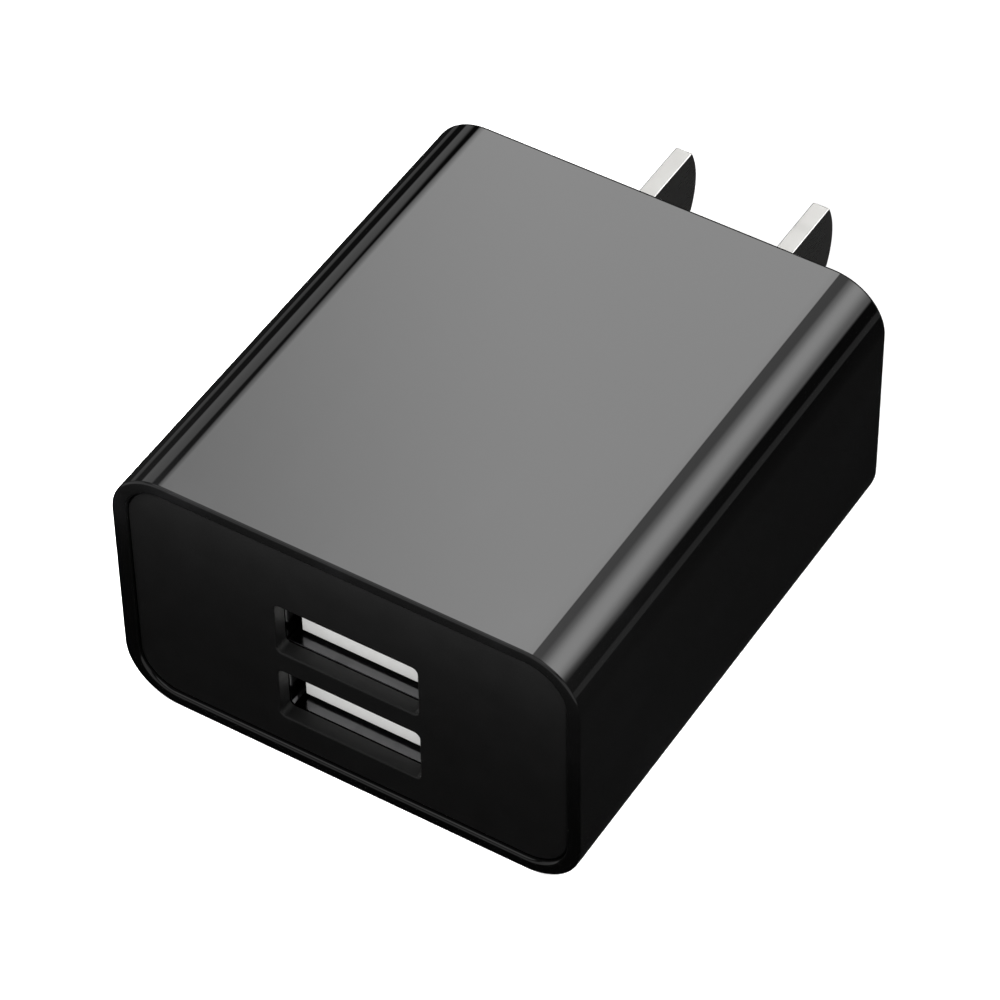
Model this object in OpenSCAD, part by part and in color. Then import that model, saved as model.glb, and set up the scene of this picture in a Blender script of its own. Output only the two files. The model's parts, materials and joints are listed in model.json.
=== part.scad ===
// USB wall charger with two ports and two flat plug blades.
// Frame: millimetres, +Z up. The origin is on the wall face, midway between the blades and at
// their mid height. The blades point along +Y and the ports face -Y.

/* [Housing] */
// Width of the housing, left to right
body_w = 40.5; // [40:0.5:52]
// Height of the housing, bottom to top
body_h = 24.2; // [24:0.2:32]
// Depth of the housing, wall face to front rim
body_d = 45.6; // [45:0.2:60]
// Radius of the four long edges
corner_r = 4.75; // [3:0.25:6]
// Thickness of the top, bottom and side walls
side_wall = 1.6; // [1.5:0.1:2]
// Thickness of the wall that the blades come through
back_wall = 2.2; // [1.8:0.1:3]
// Height of the housing's centre above the blades' mid height
body_rise = 1.25; // [1:0.05:1.5]

/* [Front panel] */
// Width of the rim that frames the panel
rim_w = 1.2; // [0.9:0.1:1.3]
// Depth of the panel's face behind the rim
panel_inset = 0.35; // [0.2:0.05:0.8]
// Thickness of the panel
panel_t = 1.3; // [1:0.1:2]
// Gap between the panel's edge and the rim
panel_gap = 0.1; // [0.05:0.01:0.2]
// Length of the panel's snap arms
snap_len = 6; // [5:0.5:8]

/* [Plug blades] */
// Distance between the blades' mid planes
blade_pitch = 12.7; // [10:0.1:16]
// Height of a blade
blade_h = 6.35; // [5:0.05:8]
// Thickness of a blade
blade_t = 1.5; // [1.2:0.1:2]
// Length of a blade outside the housing, on its middle line
blade_len = 16; // [14:0.5:19]
// Radius of the arc that ends a blade
tip_r = 7; // [5:0.5:12]
// Clearance round a blade where it passes through plastic
blade_gap = 0.05; // [0.02:0.01:0.1]
// Thickness of the carrier behind the back wall
carrier_t = 3; // [2.5:0.5:4]

/* [USB ports] */
// Width of a port's opening
port_w = 12.5; // [12:0.1:15]
// Height of a port's opening
port_h = 5.12; // [5:0.02:6.2]
// Distance between the two ports' middles
port_pitch = 7.2; // [6.8:0.1:8.8]
// Depth of a port, from its mouth to the insulator's base
port_depth = 10.8; // [10:0.1:12]
// Height of the ports' middle above the blades' mid height
port_rise = -0.55; // [-0.7:0.05:0]
// Radius of the opening's corners
port_corner_r = 0.5; // [0.2:0.1:1]
// Thickness of the receptacle's sheet steel
sheet_t = 0.3; // [0.2:0.05:0.4]
// Width of the tongue
tongue_w = 11.1; // [10.5:0.1:11.5]
// Thickness of the tongue
tongue_t = 1.84; // [1.6:0.02:2.2]
// Space between the shell's floor and the tongue
tongue_gap = 0.4; // [0.35:0.05:0.8]
// Depth of the tongue's end behind the shell's mouth
tongue_setback = 1.05; // [0.8:0.05:2]
// Width of a contact strip
contact_w = 1; // [0.8:0.05:1.2]
// Thickness of a contact strip
contact_t = 0.25; // [0.15:0.01:0.3]
// Height of a contact's crest above the tongue
contact_lift = 0.45; // [0.3:0.05:0.6]

/* [Circuit board] */
// Thickness of the board
board_t = 1.2; // [0.8:0.1:1.6]
// Space between the board's edge and the side wall
board_side_gap = 1.3; // [1.2:0.1:2]
// Diameter of a component's lead
lead_d = 0.6; // [0.5:0.05:0.8]
// Clearance round a lead or a tail in its hole
hole_gap = 0.15; // [0.1:0.05:0.2]

/* [Transformer] */
// Width of the ferrite core, across its three legs
core_w = 15.4; // [13:0.2:16]
// Length of the core, both halves together
core_len = 15.6; // [13:0.2:16]
// Thickness of the core
core_t = 5; // [4:0.2:6]
// Thickness of the core's outer legs and backs
core_leg = 2.3; // [2:0.1:2.6]
// Width of the core's middle leg
core_mid = 4.6; // [4:0.2:5]
// Height of the core's middle above the board
core_rise = 8.4; // [8:0.2:9]

/* [Capacitors] */
// Diameter of the capacitor cans
can_d = 8; // [6:0.1:8]
// Height of the two input capacitors
input_can_h = 14; // [10:0.5:16]
// Height of the two output capacitors
output_can_h = 11.5; // [9:0.5:14]

/* [Hidden] */
$fn = 64;
eps = 0.5;              // extra depth of a cut past the face it opens

// Housing
cavity_w = body_w - 2 * side_wall;
cavity_h = body_h - 2 * side_wall;
cavity_r = corner_r - side_wall;
cavity_floor = body_rise - cavity_h / 2;
recess_w = body_w - 2 * rim_w;
recess_h = body_h - 2 * rim_w;
recess_r = corner_r - rim_w;
front_y = -body_d;
panel_front = front_y + panel_inset;
panel_back = panel_front + panel_t;
snap_w = 5;             // width of a snap arm
snap_t = 1;             // thickness of a snap arm
snap_catch = 0.45;      // how far a snap's catch stands out
snap_gap = 0.1;         // clearance between a snap arm and the wall
catch_len = 1.4;        // length of a snap's catch
pocket_gap = 0.2;       // space round a catch in its pocket

// Blades and what holds them
blade_x = blade_pitch / 2;
carrier_back = -back_wall;
carrier_front = carrier_back - carrier_t;
shoulder_h = blade_h + 2.4;
shoulder_t = 1.4;       // length of the blade's wide shoulder
tail_h = 4;             // height of the blade's tail inside the housing
tail_len = 3.4;         // length of the tail past the carrier
carrier_w = blade_pitch + 11;
carrier_h = shoulder_h + 2.4;
post_x = blade_x + 4;
post_d = 2;
post_gap = 0.05;        // radial clearance round a carrier post
post_cap = 0.8;         // length of a post past the carrier
clip_t = 0.3;
clip_len = 2.2;
clip_leg_w = 1.2;
clip_y = carrier_front - tail_len + 0.3;

// Ports
upper_z = port_rise + port_pitch / 2;
lower_z = port_rise - port_pitch / 2;
shell_gap = 0.15;       // space between the panel and the shell
shell_front = panel_back + shell_gap;
base_front = shell_front + port_depth;
base_t = 2.4;           // length of an insulator's base
fit_gap = 0.05;         // space round a part that slides into the shell
tail_row = 2.6;         // distance between the two ports' rows of tails
lower_tail_y = base_front + base_t + 0.5;
upper_tail_y = lower_tail_y + tail_row;
shell_rear = upper_tail_y + contact_t + 0.5 + sheet_t;
tongue_front = shell_front + tongue_setback;
contact_x = [-3.5, -1, 1, 3.5];
groove_d = 0.8;         // depth of a contact's groove in the tongue
groove_gap = 0.1;       // space each side of a contact in its groove
groove_front = tongue_front + 1;
root_gap = 0.1;         // space between a beam and its tail
root_y = base_front - 1.6;
beam_len = root_y - groove_front - 0.6;
crest_back = 1;         // distance from a beam's tip to its crest
root_lift = 0.05;       // space under a contact in its groove
tip_drop = 0.3;         // how far a beam's tip lies under its crest
tail_w = contact_w * 0.6;
shell_w = port_w + 2 * sheet_t;
shell_low = lower_z - port_h / 2 - sheet_t;
shell_high = upper_z + port_h / 2 + sheet_t;
shell_leg_w = 1.4;      // width of a leg that is soldered into the board
leg_x = (port_w + sheet_t) / 2;
leg_y = [shell_front + 3.4, shell_front + 10.6];
finger_w = 1.8;         // width of a springy finger cut in the shell
finger_len = 5;
finger_cut = 0.25;      // width of the cut round a finger
finger_y = shell_front + 2;
comb_h = 1.6;           // height of the comb between the tails
// Height of a contact groove's floor in the port at height z
function groove_floor(z) = z - port_h / 2 + tongue_gap + tongue_t - groove_d;

// Board
board_top = lower_z - port_h / 2 - sheet_t - fit_gap;
board_bottom = board_top - board_t;
board_w = cavity_w - 2 * board_side_gap;
edge_gap = 0.2;         // least space between the board's edge and a wall that curves in
board_front = shell_front + 1.3;
board_rear = carrier_front - 0.3;
lead_out = (board_bottom - cavity_floor) * 0.6;
lead_end = board_bottom - lead_out;
lead_hole = lead_d + 2 * hole_gap;
snug_hole = lead_d + 0.04;  // hole for a lead in plastic, rubber or ferrite
rail_h = 1;             // height of a rail over the board's edge
rail_over = 0.8;        // how far a rail reaches over the board
rail_gap = 0.1;         // space between the rail and the board
foot_w = 1;             // width of a floor rib
foot_x = board_w / 2 - 0.9;

// Transformer
core_front_y = shell_rear + 0.9;
core_mid_y = core_front_y + core_len / 2;
core_z = board_top + core_rise;
window_w = (core_w - core_mid) / 2 - core_leg;
window_len = core_len - 2 * core_leg;
core_split = 0.02;      // half of the space between the two core halves
core_gap = 0.1;         // space between the core and the bobbin
former_t = 0.6;         // wall of the bobbin's tube
flange_t = 0.8;
flange_gap = 0.2;       // space between a flange and the core's outer leg
winding_len = window_len - 2 * (flange_t + core_gap);
tape_t = 0.15;
leg_clear = 0.65;       // space between the wound coil and the core's outer leg, with layer gaps
wire_t = window_w - core_gap - former_t - tape_t - leg_clear;
primary_t = wire_t * 5 / 8;
secondary_t = wire_t - primary_t;
layer_gap = 0.02;       // space between one wound layer and the next
wound_len = winding_len - 0.1;
primary_grow = 2 * layer_gap;
secondary_grow = primary_grow + 2 * (primary_t + layer_gap);
tape_grow = secondary_grow + 2 * (secondary_t + layer_gap);
core_tape_t = 0.2;
former_w = core_mid + 2 * (core_gap + former_t);
former_h = core_t + 2 * (core_gap + former_t);
flange_w = core_w - 2 * (core_leg + flange_gap);
flange_h = former_h + flange_w - former_w;
rail_pins = 3;          // pins in each row under the bobbin
pin_pitch = 4;
pin_rail_top = core_z - core_t / 2 - core_gap;
pin_rail_bottom = board_top + 0.4;
pin_depth = 2;          // how far a pin goes up into its rail
pin_row = core_len / 2 - core_leg / 2;

// Parts on the board
can_r = can_d / 2;
can_x = board_w / 2 - rail_over - 0.35 - can_r;
can_lift = 0.3;
lead_pitch = 3.5;       // distance between a can's two leads
small_pitch = 3.6;      // distance between the leads of the choke or the safety capacitor
can_wall = 0.5;         // thickness of a can's wall and sleeve
seal_t = 1.2;
seal_gap = 0.02;        // space between a seal and its can
output_can_y = board_front + can_r + 0.6;
input_can_y1 = core_front_y + can_r;
input_can_y2 = input_can_y1 + can_d + 0.8;
can_places = [[can_x, input_can_y1], [can_x, input_can_y2], [-can_x, output_can_y],
    [can_x, output_can_y]];
choke_d = 5.4;
choke_h = 6;
choke_lift = 0.3;
drum_flange = 1;
choke_y = output_can_y + can_r + choke_d / 2 + 0.5;
choke_x = (board_w / 2 - rail_over + port_w / 2 + sheet_t) / 2;
safety_d = 6.5;
safety_t = 2.8;
safety_z = board_top + safety_d / 2 + 1.6;
safety_y = output_can_y + can_r + safety_d / 2 + 0.4;
bridge_w = 6.4;
bridge_len = 4.8;
bridge_h = 2.6;
bridge_lift = 0.4;      // space under the bridge rectifier
bridge_lead_x = 2.5;
bridge_lead_y = bridge_len / 2 + 0.6;
bridge_y = board_rear - bridge_lead_y - 0.6;
fuse_d = 3;
fuse_len = 5;
fuse_cap = 1.4;         // length of a fuse's wider end cap
fuse_pocket = 0.8;      // how deep a lead sits in an end cap
fuse_z = board_top + fuse_d / 2 + 0.4;
fuse_span = fuse_len / 2 + 0.8;
fuse_y = bridge_y - bridge_lead_y - fuse_d / 2 - 0.5;
side_x = -(board_w / 2 - rail_over + core_w / 2) / 2;
chip_w = 3.9;
chip_len = 4.9;
chip_h = 1.4;
chip_lift = 0.15;
chip_pitch = 1.27;
dimple_d = 0.7;         // diameter of the dimple that marks a chip's first lead
controller_y = fuse_y - fuse_d / 2 - chip_len / 2 - 0.8;
rectifier_y = controller_y - chip_len - 1;
chip_places = [[side_x, controller_y], [side_x, rectifier_y]];

// Places of the leads, as [x, y]. A pair lies either side of p.
function pair(p, dx, dy) = [[p[0] - dx, p[1] - dy], [p[0] + dx, p[1] + dy]];
can_leads = [for (p = can_places) each pair(p, 0, lead_pitch / 2)];
pin_places = [for (end = [-1, 1], i = [0 : rail_pins - 1])
    [(i - (rail_pins - 1) / 2) * pin_pitch, core_mid_y + end * pin_row]];
bridge_places = [for (end = [-1, 1], side = [-1, 1])
    [side_x + side * bridge_lead_x, bridge_y + end * bridge_lead_y]];
fuse_places = pair([side_x, fuse_y], fuse_span, 0);
choke_places = pair([choke_x, choke_y], small_pitch / 2, 0);
safety_places = pair([-choke_x, safety_y], 0, small_pitch / 2);

// ---- Shared shapes ----

// Rounded rectangle centred on the origin, with true arcs.
module round_rect(w, h, r) {
    square([w - 2 * r, h], center = true);
    square([w, h - 2 * r], center = true);
    for (sx = [-1, 1], sy = [-1, 1])
        translate([sx * (w / 2 - r), sy * (h / 2 - r)])
            circle(r);
}

// Sweeps an X-Z outline along Y, from y0 up to y1.
module along_y(y0, y1) {
    translate([0, y1, 0])
        rotate([90, 0, 0])
            linear_extrude(y1 - y0)
                children();
}

// Sweeps a Y-Z outline along X, from x0 up to x1.
module along_x(x0, x1) {
    translate([x0, 0, 0])
        rotate([90, 0, 90])
            linear_extrude(x1 - x0)
                children();
}

// A box given by its low and high corners.
module span(low, high) {
    translate(low)
        cube(high - low);
}

// ---- Housing and panel ----

module housing_outline(w, h, r) {
    translate([0, body_rise])
        round_rect(w, h, r);
}

module snap_pockets() {
    for (side = [-1, 1])
        translate([side * cavity_w / 2, panel_back + snap_len - catch_len - pocket_gap,
            body_rise - snap_w / 2 - pocket_gap])
            translate([side < 0 ? -snap_catch - snap_gap : -eps, 0, 0])
                cube([snap_catch + snap_gap + eps, catch_len + 2 * pocket_gap, snap_w + 2 * pocket_gap]);
}

module housing() {
    color([0.05, 0.05, 0.055]) {
        difference() {
            along_y(front_y, 0)
                housing_outline(body_w, body_h, corner_r);
            along_y(panel_back - eps, -back_wall)
                housing_outline(cavity_w, cavity_h, cavity_r);
            along_y(front_y - eps, panel_back)
                housing_outline(recess_w, recess_h, recess_r);
            for (side = [-1, 1])
                along_y(-back_wall - eps, eps)
                    translate([side * blade_x, 0])
                        square([blade_t + 2 * blade_gap, blade_h + 2 * blade_gap], center = true);
            snap_pockets();
            board_relief();
        }
        board_feet();
        board_rails();
        carrier_posts();
    }
}

// Room for the board's edges, where a low board meets the walls' round corners.
module board_relief() {
    span([-board_w / 2 - edge_gap, board_front - edge_gap, board_bottom],
        [board_w / 2 + edge_gap, board_rear + edge_gap, board_top]);
}

// Two floor ribs that the board rests on.
module board_feet() {
    for (side = [-1, 1])
        span([side * foot_x - foot_w / 2, board_front, cavity_floor - side_wall / 2],
            [side * foot_x + foot_w / 2, -back_wall + eps, board_bottom]);
}

// Two side rails that hold the board down.
module board_rails() {
    rail_low = board_top + rail_gap;
    for (side = [0, 1])
        mirror([side, 0, 0])
            span([board_w / 2 - rail_over, board_front, rail_low],
                [cavity_w / 2 + side_wall / 2, -back_wall + eps, rail_low + rail_h]);
}

// Two posts that are melted over the blade carrier.
module carrier_posts() {
    for (side = [-1, 1])
        translate([side * post_x, 0, 0])
            rotate([90, 0, 0])
                translate([0, 0, back_wall - eps])
                    cylinder(d = post_d, h = carrier_t + post_cap + eps);
}

module front_panel() {
    color([0.09, 0.09, 0.095]) {
        difference() {
            along_y(panel_front, panel_back)
                housing_outline(recess_w - 2 * panel_gap, recess_h - 2 * panel_gap, recess_r - panel_gap);
            for (z = [lower_z, upper_z])
                along_y(panel_front - eps, panel_back + eps)
                    translate([0, z])
                        round_rect(port_w, port_h, port_corner_r);
        }
        for (side = [-1, 1])
            snap_arm(side);
    }
}

// A springy arm behind the panel, with a catch that sits in the wall's pocket.
module snap_arm(side) {
    outer = cavity_w / 2 - snap_gap;
    tip = panel_back + snap_len;
    mirror([side < 0 ? 1 : 0, 0, 0])
        translate([0, 0, body_rise - snap_w / 2]) {
            span([outer - snap_t, panel_back - eps, 0], [outer, tip, snap_w]);
            linear_extrude(snap_w)
                polygon([[outer - eps, tip], [outer, tip], [outer + snap_catch, tip - catch_len + 0.2],
                    [outer + snap_catch, tip - catch_len], [outer - eps, tip - catch_len]]);
        }
}

// ---- Blades ----

// Y-Z outline: an arc-ended blade, a shoulder behind the wall and a narrow tail.
module blade_outline() {
    intersection() {
        translate([-back_wall, -blade_h / 2])
            square([back_wall + blade_len, blade_h]);
        union() {
            translate([blade_len - tip_r, 0])
                circle(tip_r);
            translate([-back_wall, -blade_h / 2])
                square([back_wall + blade_len - tip_r, blade_h]);
        }
    }
    translate([carrier_back - shoulder_t, -shoulder_h / 2])
        square([shoulder_t, shoulder_h]);
    translate([carrier_front - tail_len, -tail_h / 2])
        square([tail_len + carrier_t, tail_h]);
}

module blade(x) {
    along_x(x - blade_t / 2, x + blade_t / 2)
        blade_outline();
}

module blade_left() {
    color([0.82, 0.82, 0.84])
        blade(-blade_x);
}

module blade_right() {
    color([0.82, 0.82, 0.84])
        blade(blade_x);
}

// Block that traps the blades' shoulders against the back wall.
module blade_carrier() {
    slot_t = blade_t + 2 * blade_gap;
    color([0.12, 0.12, 0.13])
        difference() {
            along_y(carrier_front, carrier_back)
                round_rect(carrier_w, carrier_h, 1);
            for (side = [-1, 1]) {
                along_y(carrier_front - eps, carrier_back + eps)
                    translate([side * blade_x, 0])
                        square([slot_t, tail_h + 2 * blade_gap], center = true);
                along_y(carrier_back - shoulder_t - blade_gap, carrier_back + eps)
                    translate([side * blade_x, 0])
                        square([slot_t, shoulder_h + 2 * blade_gap], center = true);
                translate([side * post_x, 0, 0])
                    rotate([90, 0, 0])
                        translate([0, 0, back_wall - eps])
                            cylinder(d = post_d + 2 * post_gap, h = carrier_t + 2 * eps);
            }
        }
}

// Forked strip that grips a blade's tail and is soldered into the board.
module blade_clip(x) {
    web_top = -tail_h / 2 - blade_gap;
    fork_x = blade_t / 2 + clip_t;
    translate([x, 0, 0]) {
        along_y(clip_y, clip_y + clip_len) {
            translate([-fork_x, web_top - clip_t])
                square([2 * fork_x, clip_t]);
            for (side = [0, 1])
                mirror([side, 0])
                    translate([blade_t / 2, web_top - clip_t])
                        square([clip_t, tail_h * 0.8]);
        }
        span([-clip_leg_w / 2, clip_y, lead_end], [clip_leg_w / 2, clip_y + clip_t, web_top - clip_t / 2]);
    }
}

module blade_clip_left() {
    color([0.78, 0.6, 0.3])
        blade_clip(-blade_x);
}

module blade_clip_right() {
    color([0.78, 0.6, 0.3])
        blade_clip(blade_x);
}

// ---- Board ----

module lead_holes(places) {
    for (p = places)
        translate([p[0], p[1], board_bottom - eps])
            cylinder(d = lead_hole, h = board_t + 2 * eps);
}

// Rectangular hole for a flat tail of size w by t, centred on p.
module tail_slot(p, w, t) {
    span([p[0] - w / 2 - hole_gap, p[1] - t / 2 - hole_gap, board_bottom - eps],
        [p[0] + w / 2 + hole_gap, p[1] + t / 2 + hole_gap, board_top + eps]);
}

module main_board() {
    color([0.1, 0.35, 0.18])
        difference() {
            span([-board_w / 2, board_front, board_bottom], [board_w / 2, board_rear, board_top]);
            lead_holes(can_leads);
            lead_holes(pin_places);
            lead_holes(bridge_places);
            lead_holes(fuse_places);
            lead_holes(choke_places);
            lead_holes(safety_places);
            for (side = [-1, 1]) {
                tail_slot([side * blade_x, clip_y + clip_t / 2], clip_leg_w, clip_t);
                for (y = leg_y)
                    tail_slot([side * leg_x, y], sheet_t, shell_leg_w);
            }
            for (x = contact_x, y = [lower_tail_y, upper_tail_y])
                tail_slot([x, y + contact_t / 2], tail_w, contact_t);
        }
}

// ---- Receptacle ----

// U-shaped cut that frees a finger, on a flat sheet in X-Y.
module finger_outline() {
    difference() {
        square([finger_w + 2 * finger_cut, finger_len + finger_cut]);
        translate([finger_cut, -eps])
            square([finger_w, finger_len + eps]);
    }
}

module port_shell() {
    color([0.22, 0.22, 0.23]) {
        difference() {
            along_y(shell_front, shell_rear)
                translate([0, (shell_low + shell_high) / 2])
                    round_rect(shell_w, shell_high - shell_low, port_corner_r + sheet_t);
            along_y(shell_front - eps, shell_rear - sheet_t)
                translate([0, (shell_low + shell_high) / 2])
                    round_rect(port_w, shell_high - shell_low - 2 * sheet_t, port_corner_r);
            span([-port_w / 2, base_front + base_t, shell_low - eps],
                [port_w / 2, shell_rear - sheet_t, shell_low + sheet_t + eps]);
            for (side = [-1, 1]) {
                translate([side * port_w / 4 - finger_w / 2 - finger_cut, finger_y,
                    shell_high - sheet_t - eps])
                    linear_extrude(sheet_t + 2 * eps)
                        finger_outline();
                for (z = [lower_z, upper_z])
                    along_x(side * leg_x - eps, side * leg_x + eps)
                        translate([finger_y, z - finger_w / 2 - finger_cut])
                            rotate(90)
                                mirror([0, 1])
                                    finger_outline();
            }
        }
        for (side = [-1, 1], y = leg_y)
            translate([side * leg_x, y, 0])
                span([-sheet_t / 2, -shell_leg_w / 2, lead_end],
                    [sheet_t / 2, shell_leg_w / 2, lower_z - finger_w]);
    }
}

// Folded strip that closes the space between the two ports.
module port_divider() {
    top = upper_z - port_h / 2;
    low = lower_z + port_h / 2;
    inner_w = port_w - 2 * fit_gap;
    color([0.22, 0.22, 0.23])
        along_x(-inner_w / 2, inner_w / 2)
            difference() {
                translate([shell_front, low])
                    square([port_depth, top - low]);
                translate([shell_front + sheet_t, low + sheet_t])
                    square([port_depth, top - low - 2 * sheet_t]);
            }
}

// Base block and tongue of the port at height z.
module insulator(z) {
    tongue_low = z - port_h / 2 + tongue_gap;
    channel = contact_w + 2 * groove_gap;
    difference() {
        union() {
            along_y(base_front, base_front + base_t)
                translate([0, z])
                    round_rect(port_w - 2 * fit_gap, port_h - 2 * fit_gap, port_corner_r);
            span([-tongue_w / 2, tongue_front, tongue_low],
                [tongue_w / 2, base_front + eps, tongue_low + tongue_t]);
        }
        for (x = contact_x) {
            span([x - channel / 2, groove_front, groove_floor(z)],
                [x + channel / 2, base_front, z + port_h]);
            span([x - channel / 2, base_front - eps, groove_floor(z)],
                [x + channel / 2, base_front + base_t + eps, groove_floor(z) + contact_t + 2 * root_lift]);
        }
    }
}

module upper_insulator() {
    color([0.93, 0.93, 0.9])
        insulator(upper_z);
}

module lower_insulator() {
    color([0.93, 0.93, 0.9])
        insulator(lower_z);
}

// Comb that spaces the two rows of tails over the board.
module tail_spacer() {
    low = board_top + 0.05;
    comb_w = port_w - 1;
    color([0.93, 0.93, 0.9])
        difference() {
            span([-comb_w / 2, lower_tail_y - 0.4, low],
                [comb_w / 2, upper_tail_y + contact_t + 0.4, low + comb_h]);
            for (x = contact_x, y = [lower_tail_y, upper_tail_y])
                span([x - contact_w / 2 - fit_gap, y - fit_gap, low - eps],
                    [x + contact_w / 2 + fit_gap, y + contact_t + fit_gap, low + comb_h + eps]);
        }
}

// Springy part of one contact, from its root to its tip. It rises to a crest above the tongue.
module contact_beam(x, z) {
    root_z = groove_floor(z) + root_lift;
    crest_z = z - port_h / 2 + tongue_gap + tongue_t + contact_lift - contact_t;
    tip_z = crest_z - tip_drop;
    tip_y = root_y - beam_len;
    crest_y = tip_y + crest_back;
    along_x(x - contact_w / 2, x + contact_w / 2)
        polygon([[root_y, root_z], [root_y, root_z + contact_t],
            [crest_y, crest_z + contact_t], [tip_y, tip_z + contact_t],
            [tip_y, tip_z], [crest_y, crest_z]]);
}

module contact_beams(z) {
    for (x = contact_x)
        contact_beam(x, z);
}

module upper_contact_beams() {
    color([0.9, 0.75, 0.4])
        contact_beams(upper_z);
}

module lower_contact_beams() {
    color([0.9, 0.75, 0.4])
        contact_beams(lower_z);
}

// Fixed part of the contacts: through the base, then down into the board at tail_y.
module contact_tails(z, tail_y) {
    root_z = groove_floor(z) + root_lift;
    for (x = contact_x) {
        span([x - contact_w / 2, root_y + root_gap, root_z],
            [x + contact_w / 2, tail_y + contact_t, root_z + contact_t]);
        span([x - contact_w / 2, tail_y, board_top + 0.2],
            [x + contact_w / 2, tail_y + contact_t, root_z + contact_t]);
        span([x - tail_w / 2, tail_y, lead_end],
            [x + tail_w / 2, tail_y + contact_t, board_top + 0.3]);
    }
}

module upper_contact_tails() {
    color([0.9, 0.75, 0.4])
        contact_tails(upper_z, upper_tail_y);
}

module lower_contact_tails() {
    color([0.9, 0.75, 0.4])
        contact_tails(lower_z, lower_tail_y);
}

// ---- Transformer ----

// One E-shaped half of the core, in X-Y, with its back at the low end of Y.
module core_outline() {
    half = core_len / 2 - core_split;
    translate([-core_w / 2, 0])
        square([core_w, core_leg]);
    for (side = [-1, 1])
        translate([side * (core_w - core_leg) / 2 - core_leg / 2, 0])
            square([core_leg, half]);
    translate([-core_mid / 2, 0])
        square([core_mid, half]);
}

module core_half(end) {
    translate([0, core_mid_y + end * core_len / 2, core_z - core_t / 2])
        mirror([0, end > 0 ? 1 : 0, 0])
            linear_extrude(core_t)
                core_outline();
}

module core_front() {
    color([0.16, 0.16, 0.17])
        core_half(-1);
}

module core_rear() {
    color([0.16, 0.16, 0.17])
        core_half(1);
}

// Band that ties the two core halves together.
module core_tape() {
    tape_h = core_t * 0.8;
    color([0.85, 0.7, 0.1])
        translate([0, core_mid_y, core_z - tape_h / 2])
            linear_extrude(tape_h)
                difference() {
                    square([core_w + 2 * core_tape_t, core_len + 2 * core_tape_t], center = true);
                    square([core_w, core_len], center = true);
                }
}

// Ring of rectangular section round the middle leg: thickness t outside the size w by h.
module winding_ring(w, h, t, len) {
    along_y(core_mid_y - len / 2, core_mid_y + len / 2)
        translate([0, core_z])
            difference() {
                round_rect(w + 2 * t, h + 2 * t, t + 0.2);
                square([w, h], center = true);
            }
}

module bobbin() {
    pin_rail_w = (rail_pins - 1) * pin_pitch + 2.4;
    color([0.2, 0.2, 0.22]) {
        winding_ring(former_w - 2 * former_t, former_h - 2 * former_t, former_t, window_len - 2 * core_gap);
        for (end = [-1, 1]) {
            y = core_mid_y + end * (window_len / 2 - core_gap - flange_t / 2);
            along_y(y - flange_t / 2, y + flange_t / 2)
                translate([0, core_z])
                    difference() {
                        square([flange_w, flange_h], center = true);
                        square([core_mid + 2 * core_gap, core_t + 2 * core_gap], center = true);
                    }
            pin_rail(end, pin_rail_w);
        }
    }
}

// Rail under one end of the core, which carries a row of pins.
module pin_rail(end, w) {
    inner = window_len / 2 - core_gap - flange_t;
    outer = core_len / 2 + 0.2;
    difference() {
        translate([0, core_mid_y, 0])
            mirror([0, end < 0 ? 1 : 0, 0])
                span([-w / 2, inner, pin_rail_bottom], [w / 2, outer, pin_rail_top]);
        for (i = [0 : rail_pins - 1])
            translate([(i - (rail_pins - 1) / 2) * pin_pitch, core_mid_y + end * pin_row,
                pin_rail_bottom - eps])
                cylinder(d = snug_hole, h = pin_depth + eps);
    }
}

module transformer_pins() {
    color([0.8, 0.8, 0.8])
        for (p = pin_places)
            translate([p[0], p[1], lead_end])
                cylinder(d = lead_d, h = pin_rail_bottom + pin_depth - lead_end);
}

module primary_winding() {
    color([0.75, 0.4, 0.18])
        winding_ring(former_w + primary_grow, former_h + primary_grow, primary_t, wound_len);
}

module secondary_winding() {
    color([0.8, 0.5, 0.22])
        winding_ring(former_w + secondary_grow, former_h + secondary_grow, secondary_t, wound_len);
}

module winding_tape() {
    color([0.85, 0.7, 0.1])
        winding_ring(former_w + tape_grow, former_h + tape_grow, tape_t, wound_len);
}

// ---- Parts on the board ----

// Can with a rolled groove near its foot, standing at p.
module can(p, h) {
    groove_z = 1.9;
    groove_r = 0.35;
    top_dip = 0.15;
    top_rim = 0.9;
    foot = board_top + can_lift;
    color([0.1, 0.12, 0.2])
        translate([p[0], p[1], foot])
            difference() {
                cylinder(r = can_r, h = h);
                translate([0, 0, -eps])
                    cylinder(r = can_r - can_wall, h = seal_t + eps);
                translate([0, 0, groove_z])
                    rotate_extrude()
                        translate([can_r, 0])
                            circle(groove_r, $fn = 24);
                translate([0, 0, h - top_dip])
                    cylinder(r = can_r - top_rim, h = eps);
            }
}

module input_capacitor_front() {
    can(can_places[0], input_can_h);
}

module input_capacitor_rear() {
    can(can_places[1], input_can_h);
}

module output_capacitor_left() {
    can(can_places[2], output_can_h);
}

module output_capacitor_right() {
    can(can_places[3], output_can_h);
}

// Rubber seals in the foot of each can.
module capacitor_seals() {
    color([0.12, 0.12, 0.12])
        difference() {
            for (p = can_places)
                translate([p[0], p[1], board_top + can_lift])
                    cylinder(r = can_r - can_wall - seal_gap, h = seal_t - seal_gap);
            for (p = can_leads)
                translate([p[0], p[1], board_top])
                    cylinder(d = snug_hole, h = seal_t + 1);
        }
}

module capacitor_leads() {
    color([0.8, 0.8, 0.8])
        for (p = can_leads)
            translate([p[0], p[1], lead_end])
                cylinder(d = lead_d, h = board_top + can_lift + seal_t - 0.05 - lead_end);
}

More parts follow.
